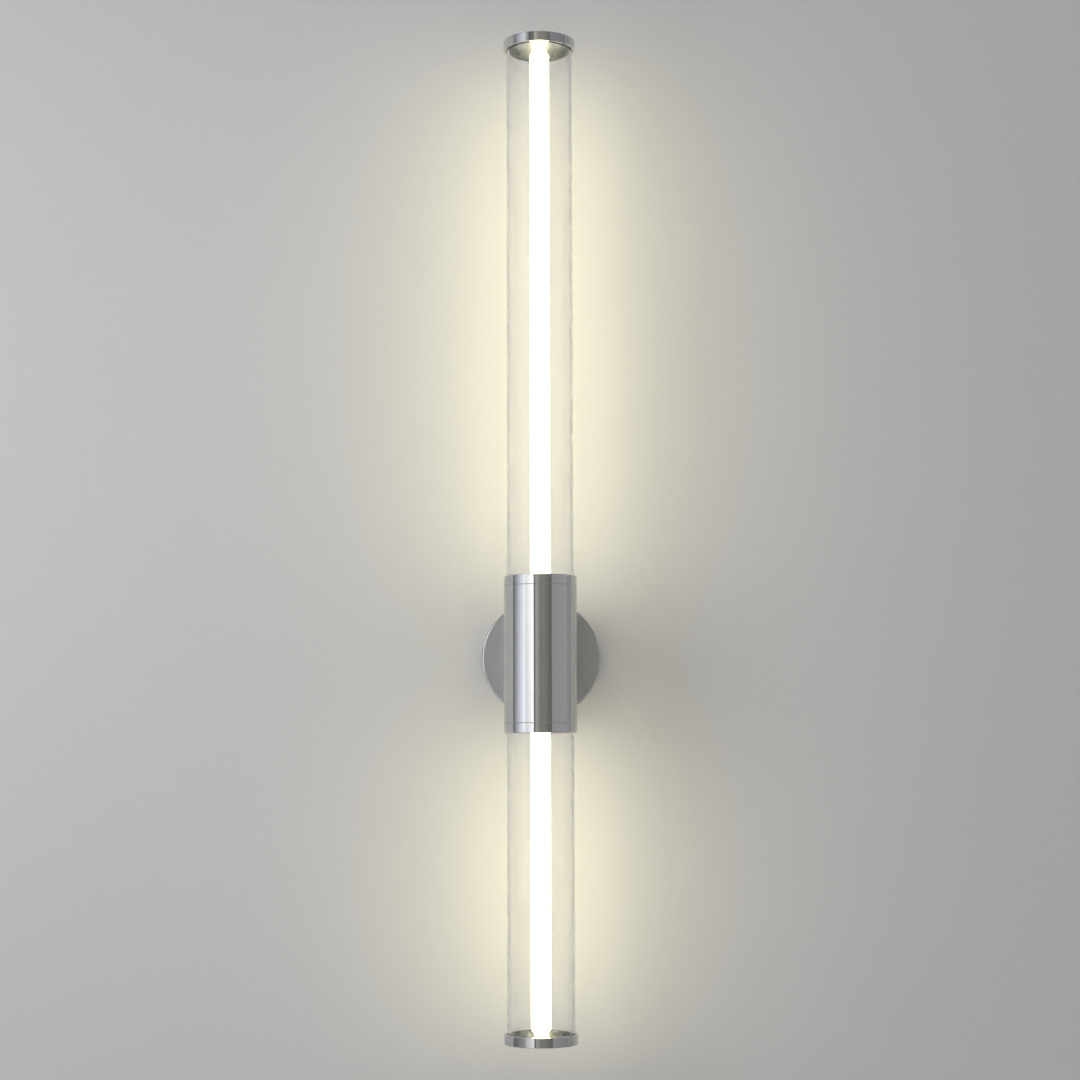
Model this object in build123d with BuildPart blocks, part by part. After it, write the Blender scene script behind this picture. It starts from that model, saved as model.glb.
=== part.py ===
from build123d import *
import os
from math import pi, radians, sqrt, tan

# Tube wall light: a metal sleeve held off a round wall plate, with a lit clear tube above and below it.
#
# Frame: the origin is the centre of the wall plate's back face. The wall is the plane Y = 0, the light
# stands out from it towards -Y, and +Z is up. Sizes are in millimetres.
# A "level" on the wall side is a distance out from the wall, and in an arm a distance from the
# sleeve's middle along the tube's axis.

# ---------------------------------------------------------------- wall plate
plate_d = 100.0
plate_depth = 22.0
plate_rim_wall = 1.5
plate_face_wall = 2.0
plate_edge_round = 1.0

# ---------------------------------------------------------------- stand-off post
post_d = 32.0
post_length = 40.0  # from the plate's front face to the nearest line of the sleeve
post_edge_chamfer = 0.8

# ---------------------------------------------------------------- clear tubes
tube_d = 55.0
tube_wall = 2.0
upper_exposed_length = 443.0
lower_exposed_length = 241.0

# ---------------------------------------------------------------- sleeve and collars
tube_clearance = 0.15  # clear tube in its collar
spigot_wall = 1.1
spigot_clearance = 0.05  # collar spigot in the sleeve
sleeve_wall = 1.2
sleeve_length = 112.0
collar_height = 8.0
collar_spigot_length = 12.0
collar_lip_thickness = 2.5
seam_chamfer = 0.3  # each edge at the seam between sleeve and collar

# ---------------------------------------------------------------- tube sockets
socket_clearance = 0.15  # socket boss in the clear tube, and socket flange in the collar
socket_flange_thickness = 3.0
socket_boss_height = 8.0
socket_hub_d = 22.0
socket_hub_drop = 8.5  # how far the hub reaches in past the collar's lip
socket_floor_thickness = 3.0
tube_seal_thickness = 1.5

# ---------------------------------------------------------------- lit core
diffuser_d = 16.0
diffuser_wall = 1.5
diffuser_clearance = 0.1  # diffuser in its socket, and plug in the diffuser
neck_d = 11.0
neck_length = 3.0
shoulder_length = 7.5  # over which the core narrows to its neck
plug_spigot_length = 6.0
bar_width = 8.0
bar_thickness = 5.0
strip_width = 7.0
strip_thickness = 0.8
strip_end_gap = 2.0
chip_width = 2.8
chip_length = 3.5
chip_height = 0.8
chip_pitch = 16.5
chip_end_gap = 5.0  # first chip's centre from the strip's end
lead_d = 1.4
lead_spacing = 3.0
lead_overlap = 3.0  # length soldered along the strip
lead_hole_clearance = 0.3

# ---------------------------------------------------------------- end caps
cap_height = 8.0
cap_disc_thickness = 3.3
cap_rim_wall = 2.0
cap_rim_gap = 0.5  # open groove between the clear tube and the cap's rim
cap_spigot_wall = 1.5
cap_spigot_clearance = 0.15
cap_seal_thickness = 1.0
cap_edge_chamfer = 0.4

# ---------------------------------------------------------------- wall bracket
bracket_thickness = 2.0
bracket_half_height = 11.0
bracket_rim_gap = 4.0  # between the cross bar's corners and the plate's rim
ear_half_width = 8.0
ear_clearance = 0.5  # between the ear's corners and the plate's rim
ear_front_gap = 2.0
ear_bend_round = 1.5
wall_slot_pitch = 60.0
wall_slot_length = 12.0
wall_slot_width = 4.5
cable_hole_d = 16.0
tongue_half_width = 14.0
tongue_rim_gap = 8.0
side_screw_level = 11.0

# ---------------------------------------------------------------- nipple through plate, post and sleeve
nipple_d = 10.0
nipple_bore_d = 7.6
nipple_hole_clearance = 0.2
nipple_proud = 1.0  # thread that stands past each nut
nipple_chamfer = 0.5
nut_across_flats = 14.0
nut_thickness = 3.0
washer_d = 17.0
washer_thickness = 0.8
bushing_bore_d = 5.6
bushing_length = 4.0
bushing_flange_d = 9.4
bushing_flange_thickness = 0.8
clamp_width = 20.0
clamp_height = 34.0
clamp_thickness = 4.8
saddle_clearance = 0.05  # curved faces that lie on the sleeve
pin_d = 3.0
pin_length = 10.0
pin_offset = 11.0
pin_clearance = 0.05
pin_depth_in_clamp = 3.0
pin_depth_in_plate = 1.6

# ---------------------------------------------------------------- terminal block and wires
block_half_width = 13.0
block_height = 14.0
block_thickness = 12.0
clamp_rise = 3.5  # of the terminal screws from the block's middle
pole_pitch = 8.0
pole_hole_d = 2.2
supply_hole_d = 3.5
pole_hole_depth = 5.0
wire_d = 1.8
wire_level = 7.0  # the plane of the wires behind the wall plate
wire_offset = 1.4  # from the nipple's axis
wire_bend_level = 16.0  # where the wires straighten towards the terminal block
wire_straight_share = 0.45  # share of the shorter run that a bend may use
earth_screw_offset = 15.5
lug_d = 8.0
lug_thickness = 0.8
lug_barrel_d = 3.4
lug_barrel_length = 6.0
lug_barrel_start = 4.2
lug_bore_d = 2.0
lug_grip = 3.0
earth_wire_run = 3.5  # straight out of the lug, and straight into the block

# ---------------------------------------------------------------- driver
tray_thickness = 1.2
tray_offset = 6.0  # from the tube's axis back to the tray's mounting face
tray_front_reach = 6.0
tray_margin = 2.5  # sheet left outside the tie screws
tray_hub_hole_d = 11.6
tray_wire_window_d = 10.0
case_screw_gap = 3.0  # between the driver case and the tie screws
case_half_height = 27.0
case_depth = 18.5
case_wall = 1.5
lid_thickness = 1.5
lid_chamfer = 0.5
board_thickness = 1.6
board_clearance = 0.5
board_stand = 2.0
case_boss_d = 6.0
case_boss_spacing = 40.0
case_boss_floor = 0.6  # left under the board past the screw's end
transformer_width = 16.0
transformer_length = 18.0
transformer_height = 9.0
transformer_edge_round = 1.5
capacitor_d = 8.0
capacitor_height = 10.0
capacitor_gap = 2.0  # between the transformer and each capacitor

# ---------------------------------------------------------------- screws
thread_clearance = 0.05
passing_clearance = 0.15
head_draft = 18.0  # degrees, taper of a pan head
recess_share = 0.55  # cross recess across a head
recess_width = 0.8
recess_depth = 0.9
countersink_angle = 90.0
side_screw_d = 4.0
side_screw_head_d = 7.0
side_screw_head_h = 2.4
side_screw_length = 7.0
earth_screw_d = 4.0
earth_screw_head_d = 7.0
earth_screw_head_h = 2.4
clamp_screw_d = 3.0
clamp_screw_recess = 0.8  # how deep the terminal screws sit in the block
fixing_screw_d = 2.5
fixing_screw_head_d = 4.4
fixing_screw_head_h = 1.6
driver_screw_d = 3.0
driver_screw_head_d = 5.5
driver_screw_head_h = 2.0
driver_screw_length = 4.0
core_screw_d = 3.0
core_screw_head_d = 5.5
core_screw_head_h = 2.0
core_screw_length = 10.0
cap_screw_d = 3.0
cap_screw_head_d = 6.0
cap_screw_length = 30.0
tie_screw_d = 4.0
tie_screw_head_d = 7.0
tie_screw_head_h = 3.2
tie_counterbore_depth = 4.0
tie_edge_margin = 1.85  # socket boss left outside the tie screws' heads
tie_lip_gap = 1.0
tie_end_gap = 1.5

# ---------------------------------------------------------------- worked out from the sizes above
tube_r = tube_d / 2
tube_bore_r = tube_r - tube_wall
collar_bore_r = tube_r + tube_clearance
spigot_r = collar_bore_r + spigot_wall
sleeve_bore_r = spigot_r + spigot_clearance
sleeve_r = sleeve_bore_r + sleeve_wall
cap_r = tube_r + cap_rim_gap + cap_rim_wall

plate_r = plate_d / 2
rim_inner_r = plate_r - plate_rim_wall
plate_inner_level = plate_depth - plate_face_wall
saddle_level = plate_depth + post_length
axis_level = saddle_level + sleeve_r
axis_y = -axis_level
sleeve_half = sleeve_length / 2

boss_r = tube_bore_r - socket_clearance
tie_offset = boss_r - tie_edge_margin - tie_screw_head_d / 2
lip_bore_r = tie_offset + tie_screw_d / 2 + tie_lip_gap

collar_end = sleeve_half + collar_height
spigot_end = sleeve_half - collar_spigot_length
lip_top = spigot_end + collar_lip_thickness
flange_top = lip_top + socket_flange_thickness
seal_top = flange_top + tube_seal_thickness
boss_top = flange_top + socket_boss_height
hub_end = lip_top - socket_hub_drop
floor_top = hub_end + socket_floor_thickness
bar_half = bar_thickness / 2
strip_face = bar_half + strip_thickness
lead_offset = strip_face + lead_d / 2
lead_hole_d = lead_d + 2 * lead_hole_clearance

clamp_level = axis_level - sleeve_bore_r + clamp_thickness
nipple_hole_r = nipple_d / 2 + nipple_hole_clearance
nipple_back_level = plate_inner_level - washer_thickness - nut_thickness - nipple_proud
nipple_front_level = clamp_level + nut_thickness + nipple_proud

bracket_half_width = sqrt(rim_inner_r**2 - bracket_half_height**2) - bracket_rim_gap
ear_outer_z = sqrt(rim_inner_r**2 - ear_half_width**2) - ear_clearance
ear_level = plate_inner_level - ear_front_gap
block_bottom = -(sqrt(rim_inner_r**2 - tongue_half_width**2) - tongue_rim_gap - bracket_thickness)
block_top = block_bottom + block_height
block_middle = (block_top + block_bottom) / 2
block_front_level = bracket_thickness + block_thickness

tray_back_level = axis_level - tray_offset - tray_thickness
case_back_level = axis_level - tray_offset
case_half_width = tie_offset - tie_screw_d / 2 - case_screw_gap
case_front_level = case_back_level + case_depth
tray_half_width = tie_offset + tie_screw_d / 2 + tray_margin
board_level = case_back_level + case_wall + board_stand

# ---------------------------------------------------------------- helpers


def write_piece(builder, node):
    """Label a finished piece and write it to its own file."""
    builder.part.label = node
    export_step(builder.part, f"parts/{node}.step")


def wall_level(level):
    """Plane parallel to the wall, this far out from it: X to the right, Z up, normal away from the wall."""
    return Plane.XZ.offset(level)


def add_ring(base, outer_r, inner_r, height):
    """Add a round ring to the open part, standing on the base plane."""
    with BuildSketch(base) as section:
        Circle(outer_r)
        Circle(inner_r, mode=Mode.SUBTRACT)
    extrude(section.sketch, amount=height)


def add_rod(base, radius, length, mode=Mode.ADD):
    """Add a round rod to the open part, or cut one from it, from the base plane along its normal."""
    with BuildSketch(base) as section:
        Circle(radius)
    extrude(section.sketch, amount=length, mode=mode)


def add_block(base, width, height, length, mode=Mode.ADD):
    """Add a square-cornered block to the open part, centred on the base plane's origin."""
    with BuildSketch(base) as section:
        Rectangle(width, height)
    extrude(section.sketch, amount=length, mode=mode)


def cut_cross_recess(head_top, head_d):
    """Cut a cross recess into a screw head."""
    for size in ((head_d * recess_share, recess_width), (recess_width, head_d * recess_share)):
        add_block(head_top, *size, -recess_depth, mode=Mode.SUBTRACT)


def add_pan_screw(seat, screw_d, head_d, head_height, length):
    """Add a pan head screw to the open part: the head stands on the seat plane, the shank goes below."""
    with BuildSketch(seat) as head:
        Circle(head_d / 2)
    extrude(head.sketch, amount=head_height, taper=head_draft)
    add_rod(seat, screw_d / 2, -length)
    cut_cross_recess(seat.offset(head_height), head_d)


def outer_rims(builder):
    """The circular edges of the largest radius."""
    return builder.edges().filter_by(GeomType.CIRCLE).group_by(SortBy.RADIUS)[-1]


def bend_radii(points):
    """The largest radius at each inner point of a route that leaves part of both runs straight."""
    radii = []
    for before, corner, after in zip(points, points[1:], points[2:]):
        run_in = Vector(*corner) - Vector(*before)
        run_out = Vector(*after) - Vector(*corner)
        half_turn = radians(run_in.get_angle(run_out)) / 2
        shorter = min(run_in.length, run_out.length)
        radii.append(wire_straight_share * shorter / tan(half_turn))
    return radii


def make_wire(node, points):
    """Make an insulated wire along straight runs joined by tangent arcs."""
    radii = bend_radii(points)
    with BuildPart() as wire:
        with BuildLine() as route:
            FilletPolyline(*points, radius=radii)
        path = route.wires()[0]
        with BuildSketch(Plane(origin=path @ 0, z_dir=path % 0)):
            Circle(wire_d / 2)
        sweep(path=path)
    section = pi * wire_d**2 / 4
    print(
        f"{node}: length {path.length:.1f}, radii {[round(r, 1) for r in radii]},",
        f"volume over section x length {wire.part.volume / (section * path.length):.4f}",
    )
    write_piece(wire, node)


os.makedirs("parts", exist_ok=True)

# ================================================================ wall side

# A steel cross: its bar has the wall slots, its upright has bent ears for the plate's side screws,
# and a wider tongue carries the terminal block.
with BuildPart() as wall_bracket:
    with BuildSketch(wall_level(0)):
        Rectangle(2 * bracket_half_width, 2 * bracket_half_height)
        Rectangle(2 * ear_half_width, 2 * ear_outer_z)
        with Locations((0, block_bottom - bracket_thickness)):
            Rectangle(2 * tongue_half_width, bracket_thickness - block_bottom,
                      align=(Align.CENTER, Align.MIN))
        Circle(cable_hole_d / 2, mode=Mode.SUBTRACT)
        with Locations((-wall_slot_pitch / 2, 0), (wall_slot_pitch / 2, 0)):
            SlotOverall(wall_slot_length, wall_slot_width, mode=Mode.SUBTRACT)
        with Locations((earth_screw_offset, 0)):
            Circle(earth_screw_d / 2 + thread_clearance, mode=Mode.SUBTRACT)
        with Locations((-pole_pitch / 2, block_middle), (pole_pitch / 2, block_middle)):
            Circle(fixing_screw_d / 2 + thread_clearance, mode=Mode.SUBTRACT)
    extrude(amount=bracket_thickness)
    with BuildSketch(wall_level(0)):
        for side in (-1, 1):
            with Locations((0, side * (ear_outer_z - bracket_thickness / 2))):
                Rectangle(2 * ear_half_width, bracket_thickness)
    extrude(amount=ear_level)
    with Locations(Plane(origin=(0, -side_screw_level, 0), z_dir=(0, 0, 1))):
        Hole(side_screw_d / 2 + thread_clearance)
    bends = wall_bracket.edges().filter_by(Axis.X).group_by(Axis.Y)[-1]
    fillet([bends.sort_by(Axis.Z)[0], bends.sort_by(Axis.Z)[-1]], ear_bend_round)
write_piece(wall_bracket, "wall_bracket")

# A deep-drawn round cup: its rim meets the wall, its front edge is rounded, and the holes for its
# side screws are at the top and the bottom, where the sleeve hides them.
with BuildPart() as wall_plate:
    add_rod(wall_level(0), plate_r, plate_depth)
    fillet(wall_plate.edges().filter_by(GeomType.CIRCLE).sort_by(Axis.Y)[0], plate_edge_round)
    add_rod(wall_level(0), rim_inner_r, plate_inner_level, mode=Mode.SUBTRACT)
    add_rod(wall_level(plate_depth), nipple_hole_r, -plate_face_wall, mode=Mode.SUBTRACT)
    with BuildSketch(wall_level(plate_depth)):
        with Locations((0, -pin_offset)):
            Circle(pin_d / 2 + pin_clearance)
    extrude(amount=-plate_face_wall, mode=Mode.SUBTRACT)
    with Locations(Plane(origin=(0, -side_screw_level, 0), z_dir=(0, 0, 1))):
        Hole(side_screw_d / 2 + passing_clearance)
write_piece(wall_plate, "wall_plate")

with BuildPart() as plate_side_screws:
    for side in (-1, 1):
        add_pan_screw(
            Plane(origin=(0, -side_screw_level, side * plate_r), z_dir=(0, 0, side)),
            side_screw_d, side_screw_head_d, side_screw_head_h, side_screw_length,
        )
write_piece(plate_side_screws, "plate_side_screws")

# ---------------------------------------------------------------- post, nipple and what clamps them

# The post's far end is a saddle on the sleeve, and a pin at each end stops it from turning.
with BuildPart() as standoff_post:
    add_rod(wall_level(plate_depth), post_d / 2, post_length + sleeve_r)
    with BuildSketch(Plane.XY.offset(-post_d)):
        with Locations((0, axis_y)):
            Circle(sleeve_r + saddle_clearance)
    extrude(amount=2 * post_d, mode=Mode.SUBTRACT)
    add_rod(wall_level(plate_depth), nipple_hole_r, post_length + sleeve_r, mode=Mode.SUBTRACT)
    chamfer(standoff_post.edges().filter_by(GeomType.CIRCLE).group_by(Axis.Y)[-1].sort_by(SortBy.RADIUS)[-1],
            post_edge_chamfer)
    pin_in_post = pin_length - pin_depth_in_plate + pin_clearance
    with Locations(Plane(origin=(0, -plate_depth, -pin_offset), z_dir=(0, 1, 0))):
        Hole(pin_d / 2 + pin_clearance, depth=pin_in_post)
    front_pin_start = clamp_level - clamp_thickness + pin_depth_in_clamp - pin_length
    with BuildSketch(wall_level(front_pin_start - pin_clearance)):
        with Locations((0, pin_offset)):
            Circle(pin_d / 2 + pin_clearance)
    extrude(amount=sleeve_r, mode=Mode.SUBTRACT)
write_piece(standoff_post, "standoff_post")

with BuildPart() as threaded_nipple:
    add_ring(wall_level(nipple_back_level), nipple_d / 2, nipple_bore_d / 2,
             nipple_front_level - nipple_back_level)
    chamfer(outer_rims(threaded_nipple), nipple_chamfer)
write_piece(threaded_nipple, "threaded_nipple")

with BuildPart() as nipple_nuts:
    for nut_level in (nipple_back_level + nipple_proud, clamp_level):
        with BuildSketch(wall_level(nut_level)):
            RegularPolygon(nut_across_flats / 2, 6, major_radius=False)
            Circle(nipple_d / 2 + thread_clearance, mode=Mode.SUBTRACT)
        extrude(amount=nut_thickness)
write_piece(nipple_nuts, "nipple_nuts")

with BuildPart() as lock_washer:
    add_ring(wall_level(plate_inner_level - washer_thickness), washer_d / 2, nipple_hole_r, washer_thickness)
write_piece(lock_washer, "lock_washer")

# Flanged plastic bushings keep the wires off the nipple's cut ends.
with BuildPart() as nipple_bushings:
    for end_level, outward in ((nipple_back_level, -1), (nipple_front_level, 1)):
        end = Plane(origin=(0, -end_level, 0), z_dir=(0, -outward, 0))
        add_ring(end, bushing_flange_d / 2, bushing_bore_d / 2, bushing_flange_thickness)
        add_ring(end, nipple_bore_d / 2 - thread_clearance, bushing_bore_d / 2, -bushing_length)
write_piece(nipple_bushings, "nipple_bushings")

# A block inside the sleeve: curved like the sleeve's bore behind, flat for the nut in front.
with BuildPart() as saddle_clamp:
    with BuildSketch(Plane.XY.offset(-clamp_height / 2)):
        with Locations((0, axis_y)):
            Circle(sleeve_bore_r - saddle_clearance)
        with Locations((0, -clamp_level)):
            Rectangle(clamp_width, clamp_thickness, align=(Align.CENTER, Align.MIN), mode=Mode.INTERSECT)
    extrude(amount=clamp_height)
    add_rod(wall_level(axis_level - sleeve_r), nipple_hole_r, sleeve_r, mode=Mode.SUBTRACT)
    with BuildSketch(wall_level(axis_level - sleeve_r)):
        with Locations((0, pin_offset)):
            Circle(pin_d / 2 + pin_clearance)
    extrude(amount=sleeve_wall + pin_depth_in_clamp + pin_clearance, mode=Mode.SUBTRACT)
write_piece(saddle_clamp, "saddle_clamp")

with BuildPart() as locating_pins:
    with BuildSketch(wall_level(plate_depth - pin_depth_in_plate)):
        with Locations((0, -pin_offset)):
            Circle(pin_d / 2)
    extrude(amount=pin_length)
    with BuildSketch(wall_level(front_pin_start)):
        with Locations((0, pin_offset)):
            Circle(pin_d / 2)
    extrude(amount=pin_length)
write_piece(locating_pins, "locating_pins")

# ---------------------------------------------------------------- terminal block, earth and wires
poles = [(-pole_pitch, block_middle), (0, block_middle), (pole_pitch, block_middle)]
clamp_places = [(x, z + side * clamp_rise) for x, z in poles for side in (-1, 1)]
fixing_places = [(-pole_pitch / 2, block_middle), (pole_pitch / 2, block_middle)]
clamp_foot_level = wire_level + wire_d / 2 + thread_clearance

with BuildPart() as terminal_block:
    with BuildSketch(wall_level(bracket_thickness)):
        with Locations((0, block_middle)):
            Rectangle(2 * block_half_width, block_height)
    extrude(amount=block_thickness)
    with BuildSketch(wall_level(block_front_level)):
        with Locations(*clamp_places):
            Circle(clamp_screw_d / 2 + thread_clearance)
    extrude(amount=-(block_front_level - clamp_foot_level), mode=Mode.SUBTRACT)
    with BuildSketch(wall_level(block_front_level)):
        with Locations(*fixing_places):
            Circle(fixing_screw_d / 2 + passing_clearance)
    extrude(amount=-block_thickness, mode=Mode.SUBTRACT)
    for hole_z, hole_d in ((block_top, pole_hole_d), (block_bottom, supply_hole_d)):
        for pole_x, _ in poles:
            with Locations(Plane(origin=(pole_x, -wire_level, hole_z), z_dir=(0, 0, 1))):
                Hole(hole_d / 2, depth=pole_hole_depth)
write_piece(terminal_block, "terminal_block")

with BuildPart() as terminal_clamp_screws:
    with BuildSketch(wall_level(clamp_foot_level)):
        with Locations(*clamp_places):
            Circle(clamp_screw_d / 2)
    extrude(amount=block_front_level - clamp_screw_recess - clamp_foot_level)
    with BuildSketch(wall_level(block_front_level - clamp_screw_recess)):
        with Locations(*clamp_places):
            Rectangle(clamp_screw_d, recess_width)
    extrude(amount=-recess_depth, mode=Mode.SUBTRACT)
write_piece(terminal_clamp_screws, "terminal_clamp_screws")

with BuildPart() as terminal_fixing_screws:
    for x, z in fixing_places:
        add_pan_screw(
            Plane(origin=(x, -block_front_level, z), z_dir=(0, -1, 0)),
            fixing_screw_d, fixing_screw_head_d, fixing_screw_head_h,
            block_thickness + bracket_thickness - passing_clearance,
        )
write_piece(terminal_fixing_screws, "terminal_fixing_screws")

with BuildPart() as earth_screw:
    add_pan_screw(
        Plane(origin=(earth_screw_offset, -(bracket_thickness + lug_thickness), 0), z_dir=(0, -1, 0)),
        earth_screw_d, earth_screw_head_d, earth_screw_head_h,
        bracket_thickness + lug_thickness - passing_clearance,
    )
write_piece(earth_screw, "earth_screw")

# A ring tongue with a crimped barrel that points down to the terminal block.
barrel_level = bracket_thickness + lug_barrel_d / 2
barrel_end = -(lug_barrel_start + lug_barrel_length)
with BuildPart() as earth_lug:
    with BuildSketch(wall_level(bracket_thickness)):
        with Locations((earth_screw_offset, 0)):
            Circle(lug_d / 2)
            Rectangle(lug_barrel_d, lug_barrel_start + lug_grip, align=(Align.CENTER, Align.MAX))
            Circle(earth_screw_d / 2 + passing_clearance, mode=Mode.SUBTRACT)
    extrude(amount=lug_thickness)
    barrel_base = Plane(origin=(earth_screw_offset, -barrel_level, -lug_barrel_start), z_dir=(0, 0, -1))
    add_rod(barrel_base, lug_barrel_d / 2, lug_barrel_length)
    add_rod(barrel_base.offset(lug_barrel_length), lug_bore_d / 2, -lug_grip, mode=Mode.SUBTRACT)
write_piece(earth_lug, "earth_lug")

wire_end = block_top - pole_hole_depth + thread_clearance
make_wire("live_wire", [
    (-wire_offset, -case_back_level, 0),
    (-wire_offset, -wire_level, 0),
    (-pole_pitch, -wire_level, -wire_bend_level),
    (-pole_pitch, -wire_level, wire_end),
])
make_wire("neutral_wire", [
    (wire_offset, -case_back_level, 0),
    (wire_offset, -wire_level, 0),
    (0, -wire_level, -wire_bend_level),
    (0, -wire_level, wire_end),
])
make_wire("earth_wire", [
    (earth_screw_offset, -barrel_level, barrel_end + lug_grip - thread_clearance),
    (earth_screw_offset, -barrel_level, barrel_end - earth_wire_run),
    (pole_pitch, -wire_level, block_top + earth_wire_run),
    (pole_pitch, -wire_level, wire_end),
])

# ================================================================ sleeve and driver

# A tube with a plain hole behind for the nipple and one for the upper pin.
with BuildPart() as sleeve:
    add_ring(Plane.XY.offset(-sleeve_half) * Pos(0, axis_y, 0), sleeve_r, sleeve_bore_r, sleeve_length)
    chamfer(outer_rims(sleeve), seam_chamfer)
    add_rod(wall_level(saddle_level), nipple_hole_r, sleeve_r, mode=Mode.SUBTRACT)
    with BuildSketch(wall_level(saddle_level)):
        with Locations((0, pin_offset)):
            Circle(pin_d / 2 + pin_clearance)
    extrude(amount=sleeve_r, mode=Mode.SUBTRACT)
write_piece(sleeve, "sleeve")

# A folded sheet between the two sockets: the tie screws pass its flanges, the driver sits on its web.
with BuildPart() as driver_tray:
    add_block(wall_level(tray_back_level), 2 * tray_half_width, 2 * hub_end, tray_thickness)
    for side in (-1, 1):
        flange = Plane(origin=(0, axis_y, side * hub_end), z_dir=(0, 0, -side))
        with BuildSketch(flange):
            with Locations((0, side * (tray_front_reach - tray_offset - tray_thickness) / 2)):
                Rectangle(2 * tray_half_width, tray_front_reach + tray_offset + tray_thickness)
            Circle(tray_hub_hole_d / 2, mode=Mode.SUBTRACT)
            with Locations((-tie_offset, 0), (tie_offset, 0)):
                Circle(tie_screw_d / 2 + passing_clearance, mode=Mode.SUBTRACT)
        extrude(amount=tray_thickness)
    add_rod(wall_level(tray_back_level), tray_wire_window_d / 2, tray_thickness, mode=Mode.SUBTRACT)
    with BuildSketch(wall_level(tray_back_level)):
        with Locations((0, -case_boss_spacing / 2), (0, case_boss_spacing / 2)):
            Circle(driver_screw_d / 2 + passing_clearance)
    extrude(amount=tray_thickness, mode=Mode.SUBTRACT)
write_piece(driver_tray, "driver_tray")

# An open box with two screwed bosses that also carry the board.
with BuildPart() as driver_case:
    add_block(wall_level(case_back_level), 2 * case_half_width, 2 * case_half_height, case_depth)
    add_block(wall_level(case_back_level + case_wall), 2 * (case_half_width - case_wall),
              2 * (case_half_height - case_wall), case_depth, mode=Mode.SUBTRACT)
    for side in (-1, 1):
        boss_foot = Plane(origin=(0, -case_back_level, side * case_boss_spacing / 2), z_dir=(0, -1, 0))
        add_rod(boss_foot, case_boss_d / 2, case_wall + board_stand)
        add_rod(boss_foot, driver_screw_d / 2 + thread_clearance, case_wall + board_stand - case_boss_floor,
                mode=Mode.SUBTRACT)
write_piece(driver_case, "driver_case")

with BuildPart() as driver_lid:
    add_block(wall_level(case_front_level), 2 * case_half_width, 2 * case_half_height, lid_thickness)
    chamfer(driver_lid.faces().sort_by(Axis.Y)[0].edges(), lid_chamfer)
write_piece(driver_lid, "driver_lid")

with BuildPart() as driver_board:
    add_block(
        wall_level(board_level),
        2 * (case_half_width - case_wall - board_clearance),
        2 * (case_half_height - case_wall - board_clearance),
        board_thickness,
    )
write_piece(driver_board, "driver_board")

# The transformer, and a capacitor at each end of the board.
with BuildPart() as driver_components:
    component_level = board_level + board_thickness
    add_block(wall_level(component_level), transformer_width, transformer_length, transformer_height)
    fillet(driver_components.edges().filter_by(Axis.Y), transformer_edge_round)
    for side in (-1, 1):
        foot = Plane(
            origin=(0, -component_level, side * (transformer_length / 2 + capacitor_gap + capacitor_d / 2)),
            z_dir=(0, -1, 0),
        )
        add_rod(foot, capacitor_d / 2, capacitor_height)
write_piece(driver_components, "driver_components")

with BuildPart() as driver_screws:
    for side in (-1, 1):
        add_pan_screw(
            Plane(origin=(0, -tray_back_level, side * case_boss_spacing / 2), z_dir=(0, 1, 0)),
            driver_screw_d, driver_screw_head_d, driver_screw_head_h, driver_screw_length,
        )
write_piece(driver_screws, "driver_screws")

# Long screws: heads sunk in the upper socket, threads in the lower one.
tie_seat = boss_top - tie_counterbore_depth
with BuildPart() as tie_screws:
    for side in (-1, 1):
        seat = Plane(origin=(side * tie_offset, axis_y, tie_seat), z_dir=(0, 0, 1))
        add_rod(seat, tie_screw_head_d / 2, tie_screw_head_h)
        add_rod(seat, tie_screw_d / 2, -(tie_seat + boss_top - tie_end_gap))
        cut_cross_recess(seat.offset(tie_screw_head_h), tie_screw_head_d)
write_piece(tie_screws, "tie_screws")

# ================================================================ the two arms


def arm_level(direction, level):
    """Plane across the tube's axis, this far from the sleeve's middle, with its normal outwards."""
    return Plane(origin=(0, axis_y, direction * level), x_dir=(1, 0, 0), z_dir=(0, 0, direction))


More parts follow.
